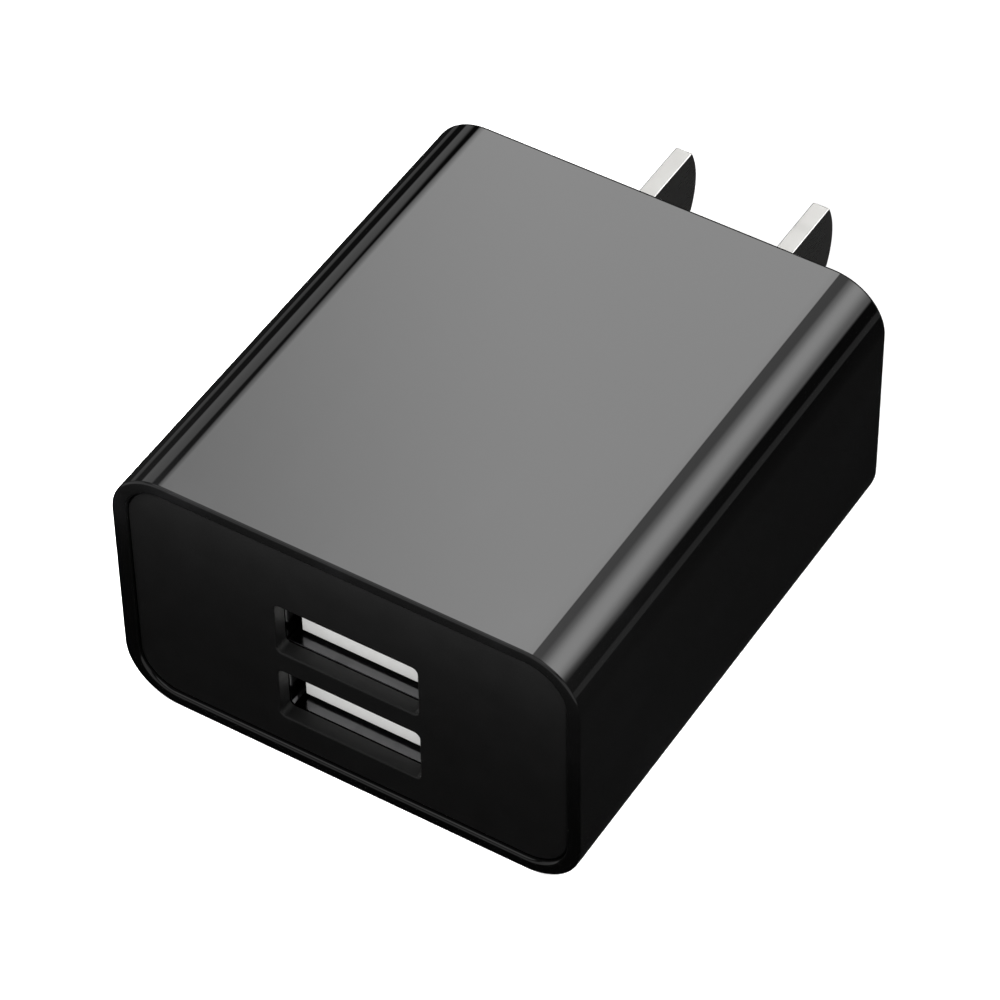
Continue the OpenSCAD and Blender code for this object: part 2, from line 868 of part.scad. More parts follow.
module bridge_rectifier() {
    notch_r = 0.4;
    notch_len = 1.4;
    color([0.12, 0.12, 0.13])
        translate([side_x, bridge_y, board_top + bridge_lift])
            difference() {
                translate([-bridge_w / 2, -bridge_len / 2, 0])
                    cube([bridge_w, bridge_len, bridge_h]);
                translate([-bridge_w / 2 - eps, 0, bridge_h])
                    rotate([0, 90, 0])
                        cylinder(r = notch_r, h = notch_len + eps);
            }
}

// Flat bent leads on both sides of the bridge rectifier.
module bridge_leads() {
    t = 0.25;
    leg_w = 0.5;
    z = board_top + bridge_lift + bridge_h / 2;
    color([0.8, 0.8, 0.8])
        for (p = bridge_places) {
            inward = p[1] < bridge_y ? bridge_y - bridge_len / 2 : bridge_y + bridge_len / 2;
            span([p[0] - lead_d / 2, min(p[1] - t / 2, inward), z],
                [p[0] + lead_d / 2, max(p[1] + t / 2, inward), z + t]);
            span([p[0] - leg_w / 2, p[1] - t / 2, lead_end], [p[0] + leg_w / 2, p[1] + t / 2, z + t]);
        }
}

module fuse_resistor() {
    color([0.25, 0.45, 0.3])
        translate([side_x - fuse_len / 2, fuse_y, fuse_z])
            rotate([0, 90, 0])
                difference() {
                    union() {
                        cylinder(d = fuse_d - 0.4, h = fuse_len);
                        for (end = [0, fuse_len - fuse_cap])
                            translate([0, 0, end])
                                cylinder(d = fuse_d, h = fuse_cap);
                    }
                    for (end = [-eps, fuse_len - fuse_pocket])
                        translate([0, 0, end])
                            cylinder(d = snug_hole, h = fuse_pocket + eps);
                }
}

// Bent wire leads of the fuse resistor.
module fuse_leads() {
    bend = 0.5;
    seat = fuse_len / 2 - fuse_pocket + 0.05;
    color([0.8, 0.8, 0.8])
        for (side = [0, 1])
            translate([side_x, fuse_y, 0])
                mirror([side, 0, 0]) {
                    translate([seat, 0, fuse_z])
                        rotate([0, 90, 0])
                            cylinder(d = lead_d, h = fuse_span - bend - seat);
                    translate([fuse_span - bend, 0, fuse_z - bend])
                        rotate([90, 0, 0])
                            rotate_extrude(angle = 90)
                                translate([bend, 0])
                                    circle(d = lead_d);
                    translate([fuse_span, 0, lead_end])
                        cylinder(d = lead_d, h = fuse_z - bend - lead_end);
                }
}

// Ferrite drum that the choke's wire is wound on. Its foot has a hole for each wire end.
module choke_core() {
    low = board_top + choke_lift;
    color([0.16, 0.16, 0.17])
        difference() {
            translate([choke_x, choke_y, low])
                cylinder(d = choke_d, h = choke_h);
            translate([choke_x, choke_y, low + drum_flange])
                rotate_extrude()
                    translate([choke_d / 4, 0])
                        square([choke_d, choke_h - 2 * drum_flange]);
            for (p = choke_places)
                translate([p[0], p[1], low - eps])
                    cylinder(d = snug_hole, h = drum_flange + 2 * eps);
        }
}

// Wire wound on the drum, with its two ends led down into the board.
module choke_coil() {
    coil_low = board_top + choke_lift + drum_flange + 0.05;
    color([0.75, 0.4, 0.18]) {
        translate([choke_x, choke_y, coil_low])
            difference() {
                cylinder(d = choke_d - 0.6, h = choke_h - 2 * drum_flange - 0.1);
                translate([0, 0, -eps])
                    cylinder(d = choke_d / 2 + 0.04, h = choke_h);
            }
        for (p = choke_places)
            translate([p[0], p[1], lead_end])
                cylinder(d = lead_d, h = coil_low + 0.2 - lead_end);
    }
}

// Blue disc capacitor that bridges the two sides of the transformer.
module safety_capacitor() {
    color([0.15, 0.35, 0.75])
        translate([-choke_x, safety_y, safety_z])
            rotate([0, 90, 0])
                translate([0, 0, -safety_t / 2])
                    cylinder(d = safety_d, h = safety_t);
}

module safety_capacitor_leads() {
    disc_low = sqrt(pow(safety_d / 2, 2) - pow((small_pitch + lead_d) / 2, 2));
    color([0.8, 0.8, 0.8])
        difference() {
            for (p = safety_places)
                translate([p[0], p[1], lead_end])
                    cylinder(d = lead_d, h = safety_z - disc_low - lead_end);
            translate([-choke_x, safety_y, safety_z])
                rotate([0, 90, 0])
                    translate([0, 0, -safety_t])
                        cylinder(d = safety_d, h = 2 * safety_t);
        }
}

// Eight-lead chip body at p.
module chip(p) {
    color([0.1, 0.1, 0.1])
        translate([p[0], p[1], board_top + chip_lift])
            difference() {
                translate([-chip_w / 2, -chip_len / 2, 0])
                    cube([chip_w, chip_len, chip_h]);
                translate([-chip_w / 2 + dimple_d, -chip_len / 2 + dimple_d, chip_h - 0.1])
                    cylinder(d = dimple_d, h = eps);
            }
}

module controller_chip() {
    chip(chip_places[0]);
}

module rectifier_chip() {
    chip(chip_places[1]);
}

// Gull-wing leads of both chips, as one row each side.
module chip_leads() {
    t = 0.2;
    w = 0.4;
    reach = 1.1;
    bend = 0.5;
    knee = chip_h / 2 + chip_lift;
    color([0.8, 0.8, 0.8])
        for (p = chip_places, side = [0, 1], i = [-1.5 : 1.5])
            translate([p[0], p[1] + i * chip_pitch, board_top])
                mirror([side, 0, 0])
                    translate([chip_w / 2, w / 2, 0])
                        rotate([90, 0, 0])
                            linear_extrude(w)
                                polygon([[0, knee], [bend, knee], [bend, t], [reach, t],
                                    [reach, 0], [bend - t, 0], [bend - t, knee - t], [0, knee - t]]);
}

// Small chip resistors and capacitors beside the chips.
module chip_parts() {
    part_size = [1, 0.5, 0.45];
    part_pitch = 1.6;
    color([0.55, 0.45, 0.35])
        for (p = chip_places, i = [-1 : 1])
            translate([p[0] - part_size[0] / 2 + part_pitch * i, p[1] + chip_len / 2 + 0.1, board_top])
                cube(part_size);
}

housing();
front_panel();
blade_left();
blade_right();
blade_carrier();
blade_clip_left();
blade_clip_right();
main_board();
port_shell();
port_divider();
upper_insulator();
lower_insulator();
tail_spacer();
upper_contact_beams();
lower_contact_beams();
upper_contact_tails();
lower_contact_tails();
core_front();
core_rear();
core_tape();
bobbin();
primary_winding();
secondary_winding();
winding_tape();
transformer_pins();
input_capacitor_front();
input_capacitor_rear();
output_capacitor_left();
output_capacitor_right();
capacitor_seals();
capacitor_leads();
bridge_rectifier();
bridge_leads();
fuse_resistor();
fuse_leads();
choke_core();
choke_coil();
safety_capacitor();
safety_capacitor_leads();
controller_chip();
rectifier_chip();
chip_leads();
chip_parts();
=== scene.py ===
# %% [markdown]
# # A two-port wall charger
# The plastic shell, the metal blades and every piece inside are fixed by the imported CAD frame.
# This lesson gives them their looks: finer edges where light catches them, wound wire, solder, and
# a procedural finish for each material. All lengths here are in metres, so a millimetre is MM.

# %% Load the frame
import json
from math import cos, degrees, pi, radians, sin

import bmesh
import bpy
from mathutils import Matrix, Vector
from mathutils.geometry import tessellate_polygon

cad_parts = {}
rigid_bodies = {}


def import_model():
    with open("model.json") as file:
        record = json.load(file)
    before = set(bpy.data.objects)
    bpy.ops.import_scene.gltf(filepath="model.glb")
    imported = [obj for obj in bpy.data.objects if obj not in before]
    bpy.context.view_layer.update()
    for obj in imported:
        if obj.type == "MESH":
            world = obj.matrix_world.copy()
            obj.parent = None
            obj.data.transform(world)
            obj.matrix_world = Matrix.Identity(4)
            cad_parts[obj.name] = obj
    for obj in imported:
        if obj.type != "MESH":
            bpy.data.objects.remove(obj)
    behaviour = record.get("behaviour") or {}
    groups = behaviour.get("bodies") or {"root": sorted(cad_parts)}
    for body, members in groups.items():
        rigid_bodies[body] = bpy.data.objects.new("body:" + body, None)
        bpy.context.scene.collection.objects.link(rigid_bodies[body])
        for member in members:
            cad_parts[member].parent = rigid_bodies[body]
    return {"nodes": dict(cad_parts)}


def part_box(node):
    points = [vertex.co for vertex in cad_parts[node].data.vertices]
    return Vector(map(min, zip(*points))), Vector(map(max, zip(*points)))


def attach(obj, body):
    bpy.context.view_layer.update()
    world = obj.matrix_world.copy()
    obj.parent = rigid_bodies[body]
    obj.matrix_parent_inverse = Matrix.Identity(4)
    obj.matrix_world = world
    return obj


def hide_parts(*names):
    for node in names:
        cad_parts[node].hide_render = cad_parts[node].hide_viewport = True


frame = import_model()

MM = 0.001
scene = bpy.context.scene
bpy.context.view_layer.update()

# %% [markdown]
# ## The camera
# The charger is seen from in front, from its right and from well above, through a long lens, so
# its edges run almost parallel. A long lens is a large focal length with the camera far away. The
# camera leans by under a degree, so the small roll is added to its axes. The shift moves
# the picture a little without turning the camera.

# %% Camera
CAMERA_AZIMUTH = 32.2    # degrees from straight ahead, towards the right
CAMERA_HEIGHT = 46.5     # degrees above the horizon
CAMERA_ROLL = -0.9       # degrees
CAMERA_DISTANCE = 374.5 * MM
LENS_LENGTH, SENSOR_WIDTH = 176.5, 36    # mm
LENS_SHIFT = (-0.006, -0.0125)


def direction(azimuth, height):
    """Unit vector that points from the object, azimuth degrees to the right of straight ahead."""
    a, h = radians(azimuth), radians(height)
    return Vector((sin(a) * cos(h), -cos(a) * cos(h), sin(h)))


shell_low, shell_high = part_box("housing")
middle = (shell_low + shell_high) / 2
back = direction(CAMERA_AZIMUTH, CAMERA_HEIGHT)
sideways = Vector((0, 0, 1)).cross(back).normalized()
upright = back.cross(sideways)
roll = radians(CAMERA_ROLL)
camera_right = sideways * cos(roll) + upright * sin(roll)
camera_up = back.cross(camera_right)
lens = bpy.data.cameras.new("lens")
lens.lens, lens.sensor_width = LENS_LENGTH, SENSOR_WIDTH
lens.shift_x, lens.shift_y = LENS_SHIFT
lens.clip_start = 10 * MM
camera = bpy.data.objects.new("camera", lens)
camera.matrix_world = Matrix((camera_right, camera_up, back)).transposed().to_4x4()
camera.location = middle + back * CAMERA_DISTANCE
scene.collection.objects.link(camera)
scene.camera = camera
print("camera is", round(CAMERA_DISTANCE / MM), "mm away")

# %% [markdown]
# ## Arithmetic on sockets
# A procedural finish is a sum of patterns, and it reads best as a formula. Python lets a class
# say what + - * / mean, so this one holds a socket of a node tree, and each operation on it adds
# a Math node. The reflected forms, such as __rsub__, make 1 - mask work as well. The node method
# adds every other kind of node, in material trees, the world's tree and Geometry Nodes alike.


# %% A socket that can be calculated with
class Field:
    """A value that varies over a surface, held as a socket of a node tree."""

    def __init__(self, tree, socket=None):
        self.tree, self.socket = tree, socket

    def node(self, kind, settings=None, sockets=None, out=0):
        """Adds a node: its settings first, then the values or links of its sockets."""
        node = self.tree.nodes.new(kind)
        for name, value in (settings or {}).items():
            setattr(node, name, value)
        for key, value in (sockets or {}).items():
            if isinstance(value, Field):
                self.tree.links.new(value.socket, node.inputs[key])
            elif value is not None:
                node.inputs[key].default_value = value
        return Field(self.tree, node.outputs[out])

    def math(self, operation, *values):
        return self.node("ShaderNodeMath", {"operation": operation}, dict(enumerate(values)))

    def __add__(self, other):
        return self.math("ADD", self, other)

    def __sub__(self, other):
        return self.math("SUBTRACT", self, other)

    def __rsub__(self, other):
        return self.math("SUBTRACT", other, self)

    def __mul__(self, other):
        return self.math("MULTIPLY", self, other)

    def __truediv__(self, other):
        return self.math("DIVIDE", self, other)

    __radd__ = __add__
    __rmul__ = __mul__


def smooth(value, low, high):
    """0 below low, 1 above high, and an S curve between them."""
    return value.node("ShaderNodeMapRange", {"interpolation_type": "SMOOTHSTEP"},
                      {0: value, 1: low, 2: high})


def window(value, low, high, edge):
    """1 between low and high, falling to 0 over edge outside them."""
    return smooth(value, low - edge, low) * (1 - smooth(value, high, high + edge))


def mix(mask, a, b):
    """Colour a where mask is 0 and colour b where it is 1."""
    return mask.node("ShaderNodeMix", {"data_type": "RGBA"}, {0: mask, 6: a, 7: b}, out=2)


def noise(place, scale, detail=3):
    return place.node("ShaderNodeTexNoise", None,
                      {"Vector": place, "Scale": scale, "Detail": detail})


def cells(place, scale):
    """The distance to the nearest of many scattered points."""
    return place.node("ShaderNodeTexVoronoi", None, {"Vector": place, "Scale": scale})


def stretch(place, x=1, y=1, z=1):
    """The place with each axis scaled, so that a pattern is drawn out along the smaller ones."""
    return place.node("ShaderNodeVectorMath", {"operation": "MULTIPLY"}, {0: place, 1: (x, y, z)})


def split(place):
    """The X, Y and Z of a place."""
    parts = place.node("ShaderNodeSeparateXYZ", None, {0: place}).socket.node
    return [Field(place.tree, socket) for socket in parts.outputs]


def grey(value, tint=(1, 1, 1)):
    return (value * tint[0], value * tint[1], value * tint[2], 1)


print("shader arithmetic is ready")

# %% [markdown]
# ## The studio
# Black gloss plastic shows almost nothing of its own: what the eye reads as its shape is the
# reflection of the lights in it. So the studio is drawn as soft panels around the object, each
# with its own place, size and brightness. They are painted on the world by direction, which
# keeps them exact and free of noise. Two big panels stand behind the charger and a dimmer one
# hangs between them. A narrow strip on the left, a low band behind and a faint glow in front
# give every side an edge of light.

# %% World
world = bpy.data.worlds.new("studio")
world.use_nodes = True
scene.world = world
sky = Field(world.node_tree)
ray = sky.node("ShaderNodeTexCoord", None, None, 0)
ray_x, ray_y, ray_z = split(ray)
turn = ray_x.math("ARCTAN2", ray_x, ray_y) * degrees(1)
rise = ray_z.math("ARCSINE", ray_z) * degrees(1)


def panel_light(turn_low, turn_high, rise_low, rise_high, brightness, edge=3):
    """A soft panel between two turns from straight behind and two heights, in degrees."""
    across = window(turn, turn_low, turn_high, edge)
    return across * window(rise, rise_low, rise_high, edge) * brightness


# turns and heights in degrees, then the brightness and, where it isn't 3, the soft edge
left_panel = panel_light(-42, -12, 36, 60, 4.7) * (0.3 + 0.7 * smooth(turn, -44, -31))
right_falloff = 0.36 + 0.64 * (smooth(rise, 19, 39) * (1.1 - 0.6 * smooth(rise, 42, 55)))
right_rise = 0.5 + 0.5 * smooth(turn, 14, 34)
right_panel = panel_light(16, 50, 19, 56, 4.4, 5) * right_falloff * right_rise
middle_panel = panel_light(-8, 12, 30, 66, 0.95)
grazing_strip = panel_light(-57, -48, 14, 30, 0.75)
low_glow = panel_light(-62, 62, -11, -3, 0.2, 2)
front_side = 1 - window(turn, -70, 70, 25)
front_glow = (window(rise, -12, 24, 10) * 0.5 + window(rise, 50, 72, 8) * 0.9) * front_side
room = 0.022 - 0.017 * front_side
reflected = left_panel + right_panel + middle_panel + grazing_strip + low_glow + front_glow + room
dome = 0.25 + 0.45 * smooth(rise, -10, 60)
is_camera = sky.node("ShaderNodeLightPath", None, None, "Is Camera Ray")
is_glossy = sky.node("ShaderNodeLightPath", None, None, "Is Glossy Ray")
strength = is_camera + (1 - is_camera) * (is_glossy * reflected + (1 - is_glossy) * dome)
background = world.node_tree.nodes["Background"]
world.node_tree.links.new(strength.socket, background.inputs["Strength"])
background.inputs["Color"].default_value = (1, 1, 1, 1)
scene.view_settings.view_transform = "Standard"
print("the world has", len(world.node_tree.nodes), "nodes")

# %% [markdown]
# ## Two lamps
# The front panel is satin, so it is lit and not mirrored. A long narrow lamp close in front of
# its top edge gives it light that falls away towards the table. A wide lamp further off fills
# the two sockets, where the white tongues sit 2 or 3 mm deep. Neither shows in reflections.

# %% Lamps


def lamp(name, place, target, width, height, power):
    data = bpy.data.lights.new(name, "AREA")
    data.shape = "RECTANGLE"
    data.size, data.size_y, data.energy = width, height, power
    light = bpy.data.objects.new(name, data)
    light.location = place
    light.rotation_euler = (target - place).to_track_quat("-Z", "Y").to_euler()
    light.visible_camera = light.visible_glossy = False
    scene.collection.objects.link(light)


NEAR_OFFSET = Vector((0, -8 * MM, 22 * MM))   # from the middle of the front face
NEAR_SIZE, NEAR_POWER = (120 * MM, 3 * MM), 0.42
FILL_DISTANCE = 300 * MM
FILL_SIZE, FILL_POWER = (160 * MM, 120 * MM), 0.35
face_middle = Vector((middle.x, shell_low.y, middle.z))
near_place = face_middle + NEAR_OFFSET
lamp("near lamp", near_place, near_place + Vector((0, 1, 0)), *NEAR_SIZE, NEAR_POWER)
fill_place = face_middle + direction(8, 24) * FILL_DISTANCE
lamp("fill lamp", fill_place, face_middle, *FILL_SIZE, FILL_POWER)
print("2 lamps")

# %% [markdown]
# ## The floor
# The charger lies on a plain white table. The table glows a little, as an acrylic sheet lit
# from below does, which keeps the shadow under the charger light.

# %% Floor
FLOOR_SIZE, FLOOR_GREY, FLOOR_GLOW = 4.0, 0.8, 0.62
floor_mesh = bpy.data.meshes.new("floor")
corners = [(x * FLOOR_SIZE / 2, y * FLOOR_SIZE / 2, shell_low.z)
           for x, y in ((-1, -1), (1, -1), (1, 1), (-1, 1))]
floor_mesh.from_pydata(corners, [], [(0, 1, 2, 3)])
floor = bpy.data.objects.new("floor", floor_mesh)
scene.collection.objects.link(floor)
floor.visible_glossy = False
floor_paint = bpy.data.materials.new("white table")
floor_paint.use_nodes = True
floor_shader = floor_paint.node_tree.nodes["Principled BSDF"]
floor_shader.inputs["Base Color"].default_value = grey(FLOOR_GREY)
floor_shader.inputs["Roughness"].default_value = 0.9
floor_shader.inputs["Emission Color"].default_value = grey(1)
floor_shader.inputs["Emission Strength"].default_value = FLOOR_GLOW
floor_mesh.materials.append(floor_paint)
print("the floor lies at", round(shell_low.z / MM, 2), "mm")

# %% [markdown]
# ## Finishes
# Each material starts from the same shader, and says only what is special to it: a colour that
# varies a little, a roughness that shows how the surface was made or handled, and a fine relief.
# A value that is the same all over goes straight on the shader's socket.

# %% A finish


def finish_named(name, **fixed):
    """A new material, its shader's sockets by name, and the place on the piece in metres."""
    material = bpy.data.materials.new(name)
    material.use_nodes = True
    shader = material.node_tree.nodes["Principled BSDF"]
    for title, value in fixed.items():
        shader.inputs[title.replace("_", " ")].default_value = value
    place = Field(material.node_tree).node("ShaderNodeTexCoord", None, None, "Object")
    return material, shader, place


def feed(shader, **varying):
    for title, value in varying.items():
        value.tree.links.new(value.socket, shader.inputs[title.replace("_", " ")])


def relief(height, depth, strength=1.0):
    """A normal bent by a height, where depth is the size of its full step in metres."""
    return height.node("ShaderNodeBump", None,
                       {"Height": height, "Distance": depth, "Strength": strength}, "Normal")


def per_mm(count):
    """The scale of a texture with this many features in a millimetre."""
    return count / MM


print("finishes can be made")

# %% [markdown]
# Gloss black plastic is nearly all reflection. Under it lie the marks that a polished mould and
# handling leave: very shallow waves a few millimetres long, hairline scratches and faint smears.
# They are kept so weak that only a moving highlight shows them.

# %% Plastics


def gloss_black():
    material, shader, place = finish_named("gloss black plastic", IOR=1.5)
    smear = smooth(noise(stretch(place, 1, 0.45, 1), per_mm(0.16), 4), 0.5, 0.78)
    scratch = noise(stretch(place, 1, 0.03, 1), per_mm(9), 2)
    hairline = smooth(scratch, 0.7, 0.78) * smooth(noise(place, per_mm(0.3)), 0.5, 0.7)
    feed(shader, Base_Color=mix(smear, grey(0.0005), grey(0.0009, (1, 1, 1.05))),
         Roughness=0.035 + 0.03 * smear + 0.1 * hairline,
         Normal=relief(noise(place, per_mm(0.35), 1) + 0.04 * hairline, 0.0016 * MM))
    return material


def satin_black(name="satin black panel", base=0.001, grain=7.0, depth=0.004):
    """Plastic from a spark-eroded mould: a fine even grain that scatters the light."""
    material, shader, place = finish_named(name, IOR=1.5)
    grains = cells(place, per_mm(grain))
    patch = noise(place, per_mm(0.4), 3)
    feed(shader, Base_Color=mix(patch, grey(base * 0.85), grey(base * 1.15)),
         Roughness=0.36 + 0.1 * patch + 0.06 * grains,
         Normal=relief(grains + 0.4 * noise(place, per_mm(grain * 2.2)), depth * MM, 0.6))
    return material


def white_tongue():
    """Glass-filled white plastic: clean, a little mottled, with a dull shine."""
    material, shader, place = finish_named("white tongue plastic", IOR=1.54)
    mottle = noise(place, per_mm(1.3), 5)
    fibres = noise(stretch(place, 0.25, 1, 1), per_mm(14), 2)
    feed(shader, Base_Color=mix(mottle, (0.74, 0.74, 0.72, 1), (0.83, 0.83, 0.82, 1)),
         Roughness=0.42 + 0.14 * fibres, Normal=relief(fibres + mottle, 0.006 * MM, 0.5))
    return material


def black_rubber():
    material, shader, place = finish_named("seal rubber")
    bloom = noise(place, per_mm(1.1), 4)
    feed(shader, Base_Color=mix(smooth(bloom, 0.45, 0.75), grey(0.012), grey(0.04)),
         Roughness=0.62 + 0.2 * bloom, Normal=relief(noise(place, per_mm(9)), 0.01 * MM, 0.5))
    return material


print("plastics are written")

# %% [markdown]
# Metals differ in how they were worked. A blade is blanked from brass strip and plated: its
# broad faces keep the fine lines of rolling along their length, and its edges are sheared. The
# contacts and leads are drawn or rolled, then gold flashed or tinned, which leaves pin-prick pits
# and a soft, lumpy shine. The clips are bare rolled brass.

# %% Metals


def worked_metal(name, light, dark, rough, lines=(1, 0.04, 1), wave=0.004):
    """Plated sheet or wire, with lines drawn out along the axis that lines makes small."""
    material, shader, place = finish_named(name, Metallic=1.0)
    drawn = noise(stretch(place, *lines), per_mm(22), 3)
    tarnish = smooth(noise(place, per_mm(0.55), 5), 0.46, 0.74)
    pits = 1 - smooth(cells(place, per_mm(3.2)), 0.03, 0.09)
    feed(shader, Base_Color=mix(tarnish * 0.7 + pits * 0.3, light, dark),
         Roughness=rough * (0.8 + 0.4 * drawn) + 0.08 * tarnish,
         Normal=relief(drawn - 0.6 * pits, wave * MM, 0.5))
    return material


blade_low, blade_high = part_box("blade_left")
blade_x = -(blade_low.x + blade_high.x) / 2
blade_sheet = blade_high.x - blade_low.x


def size_of(value):
    """A value without its sign."""
    return value.math("ABSOLUTE", value)


def blade_nickel():
    """Nickel plate. The sheared edges, between the two faces, are duller than the faces."""
    material, shader, place = finish_named("bright nickel blade", Metallic=1.0)
    x, y, z = split(place)
    off_middle = size_of(size_of(x) - blade_x)
    sheared = 1 - smooth(off_middle, blade_sheet / 2 - 0.1 * MM, blade_sheet / 2 - 0.04 * MM)
    rolled = noise(stretch(place, 1, 0.05, 1), per_mm(26), 3)
    torn = noise(stretch(place, 0.12, 1, 1), per_mm(11), 3)
    stain = smooth(noise(place, per_mm(0.3), 5), 0.48, 0.76)
    line = rolled + (torn - rolled) * sheared
    plated = mix(stain, (0.7, 0.695, 0.68, 1), (0.65, 0.643, 0.625, 1))
    feed(shader, Base_Color=mix(sheared, plated, (0.52, 0.515, 0.5, 1)),
         Roughness=0.24 + 0.2 * sheared + 0.08 * line + 0.05 * stain,
         Normal=relief(line, 0.0015 * MM, 0.4))
    return material


print("metals are written")

# %% [markdown]
# The pieces inside are never seen on a whole charger, but the model can be opened, so each has
# the look of its own trade: green lacquer over copper tracks, enamelled wire, sintered ferrite,
# printed sleeves and dull epoxy.

# %% Finishes inside


def ferrite():
    """Sintered oxide: dark, matt and grainy, with small bright chips at random."""
    material, shader, place = finish_named("sintered ferrite")
    grain = noise(place, per_mm(12), 3)
    chips = 1 - smooth(cells(place, per_mm(2.5)), 0.05, 0.12)
    feed(shader, Base_Color=mix(chips * grain, grey(0.03), (0.12, 0.115, 0.11, 1)),
         Roughness=0.55 + 0.25 * grain, Normal=relief(grain - chips, 0.01 * MM, 0.6))
    return material


def copper_wire(name, light, dark):
    """Drawn copper under clear enamel: the enamel is glossy, and its tint drifts along the wire."""
    material, shader, place = finish_named(name, Metallic=1.0, Coat_Roughness=0.08)
    tint = noise(place, per_mm(0.6), 4)
    drawn = noise(place, per_mm(30), 2)
    feed(shader, Base_Color=mix(tint, light, dark), Roughness=0.24 + 0.14 * drawn,
         Coat_Weight=0.5 + 0.3 * tint, Normal=relief(drawn, 0.002 * MM, 0.5))
    return material


def wrapped_tape():
    """Yellow film laid in overlapping turns, so faint steps run round the coil."""
    material, shader, place = finish_named("yellow winding tape", Coat_Roughness=0.15)
    step = noise(stretch(place, 0.1, 1, 0.1), per_mm(0.9), 2)
    wrinkle = noise(stretch(place, 1, 0.3, 1), per_mm(2.2), 3)
    feed(shader, Base_Color=mix(step, (0.62, 0.42, 0.02, 1), (0.86, 0.64, 0.07, 1)),
         Roughness=0.25 + 0.2 * wrinkle, Coat_Weight=0.3 + 0.4 * step,
         Normal=relief(step + 0.5 * wrinkle, 0.05 * MM, 0.5))
    return material


def epoxy_body():
    """Filled moulding epoxy: nearly black, matt, with pale specks of filler."""
    material, shader, place = finish_named("moulding epoxy")
    speck = 1 - smooth(cells(place, per_mm(9)), 0.1, 0.2)
    cloud = noise(place, per_mm(1.2), 4)
    feed(shader, Base_Color=mix(speck * 0.5 + cloud * 0.3, grey(0.012), grey(0.05)),
         Roughness=0.5 + 0.2 * cloud, Normal=relief(noise(place, per_mm(16)), 0.006 * MM, 0.6))
    return material


def dipped_lacquer(name, light, dark):
    """Lacquer that a part was dipped in: thick, glossy and a little uneven."""
    material, shader, place = finish_named(name, Coat_Roughness=0.05)
    run = noise(stretch(place, 1, 1, 0.5), per_mm(0.8), 3)
    feed(shader, Base_Color=mix(run, light, dark), Roughness=0.3 + 0.15 * run,
         Coat_Weight=0.6 + 0.3 * run, Normal=relief(run, 0.08 * MM, 0.5))
    return material


def ceramic_chips():
    """Brown fired ceramic, slightly mottled."""
    material, shader, place = finish_named("chip part ceramic")
    grain = noise(place, per_mm(15), 4)
    feed(shader, Base_Color=mix(grain, (0.3, 0.2, 0.12, 1), (0.42, 0.31, 0.2, 1)),
         Roughness=0.4 + 0.3 * grain, Normal=relief(grain, 0.008 * MM, 0.5))
    return material


TRACK_PITCH = 1.3 * MM
SAWN_EDGE = 0.03 * MM


def off_grid(value):
    """How far a place is from the nearest line of the tracks' grid, in parts of its pitch."""
    steps = value / TRACK_PITCH
    return size_of(steps - steps.math("ROUND", steps))


def solder_mask(low, high):
    """Green lacquer over copper. The tracks lie on the lines of a square grid, and noise picks
    which way they run in each cell. The sawn edges of the board show bare glass fibre."""
    material, shader, place = finish_named("green solder mask")
    x, y, z = split(place)
    cell = place.node("ShaderNodeVectorMath", {"operation": "SNAP"},
                      {0: place, 1: (TRACK_PITCH,) * 3})
    keep = smooth(noise(cell, per_mm(0.21), 1), 0.47, 0.5)
    line_x, line_y = [1 - smooth(off_grid(value), 0.16, 0.2) for value in (x, y)]
    track = line_x * keep + line_y * (1 - keep)
    sawn = 1 - (window(x, low.x + SAWN_EDGE, high.x - SAWN_EDGE, 0.01 * MM)
                * window(y, low.y + SAWN_EDGE, high.y - SAWN_EDGE, 0.01 * MM))
    weave = noise(stretch(place, 1, 1, 0.2), per_mm(8), 3)
    green = mix(track, (0.008, 0.075, 0.025, 1), (0.03, 0.17, 0.05, 1))
    feed(shader, Base_Color=mix(sawn, green, (0.42, 0.36, 0.17, 1)),
         Roughness=0.22 + 0.4 * sawn + 0.1 * weave,
         Normal=relief(smooth(track, 0, 1) + 0.2 * weave, 0.03 * MM, 0.8))
    return material


def can_sleeve():
    """A shrunk plastic sleeve with a pale stripe, over a bare aluminium top with a crossed vent.
    The can keeps each point's place as x and y over its radius and z down from its top in mm."""
    material, shader, place = finish_named("capacitor sleeve")
    on_can = place.node("ShaderNodeAttribute", {"attribute_name": "on_can"}, None, "Vector")
    x, y, z = split(on_can)
    out = (x * x + y * y).math("SQRT", x * x + y * y)
    bare = smooth(z, -0.3, -0.16) * (1 - smooth(out, 0.84, 0.87))
    stripe = window(y, -0.42, 0.42, 0.02) * smooth(x, 0, 0.1) * (1 - bare)
    across = 1 - smooth(size_of(x).math("MINIMUM", size_of(x), size_of(y)), 0.012, 0.04)
    vent = across * bare * (1 - smooth(out, 0.55, 0.6))
    wrinkle = noise(stretch(place, 1, 1, 0.3), per_mm(1.5), 3)
    brushed = noise(place, per_mm(18), 2)
    printed = mix(stripe, (0.008, 0.012, 0.035, 1), (0.4, 0.42, 0.46, 1))
    feed(shader, Base_Color=mix(bare, printed, (0.74, 0.75, 0.76, 1)), Metallic=bare,
         Roughness=0.3 + 0.12 * wrinkle + 0.1 * brushed * bare,
         Normal=relief(0.3 * wrinkle + 0.1 * brushed - vent, 0.06 * MM, 0.8))
    return material


print("inside finishes are written")

# %% [markdown]
# ## Tools for shapes
# Geometry Nodes suit what repeats or follows a path. A small helper makes a tree with named
# inputs and another runs it once: the modifier's inputs are set by identifier, the result is
# copied to a plain mesh, and the modifier goes. The frame needs plain meshes, because it hashes
# and exports them. Shapes that nodes don't suit are built point by point with bmesh.

# %% Node tree helpers


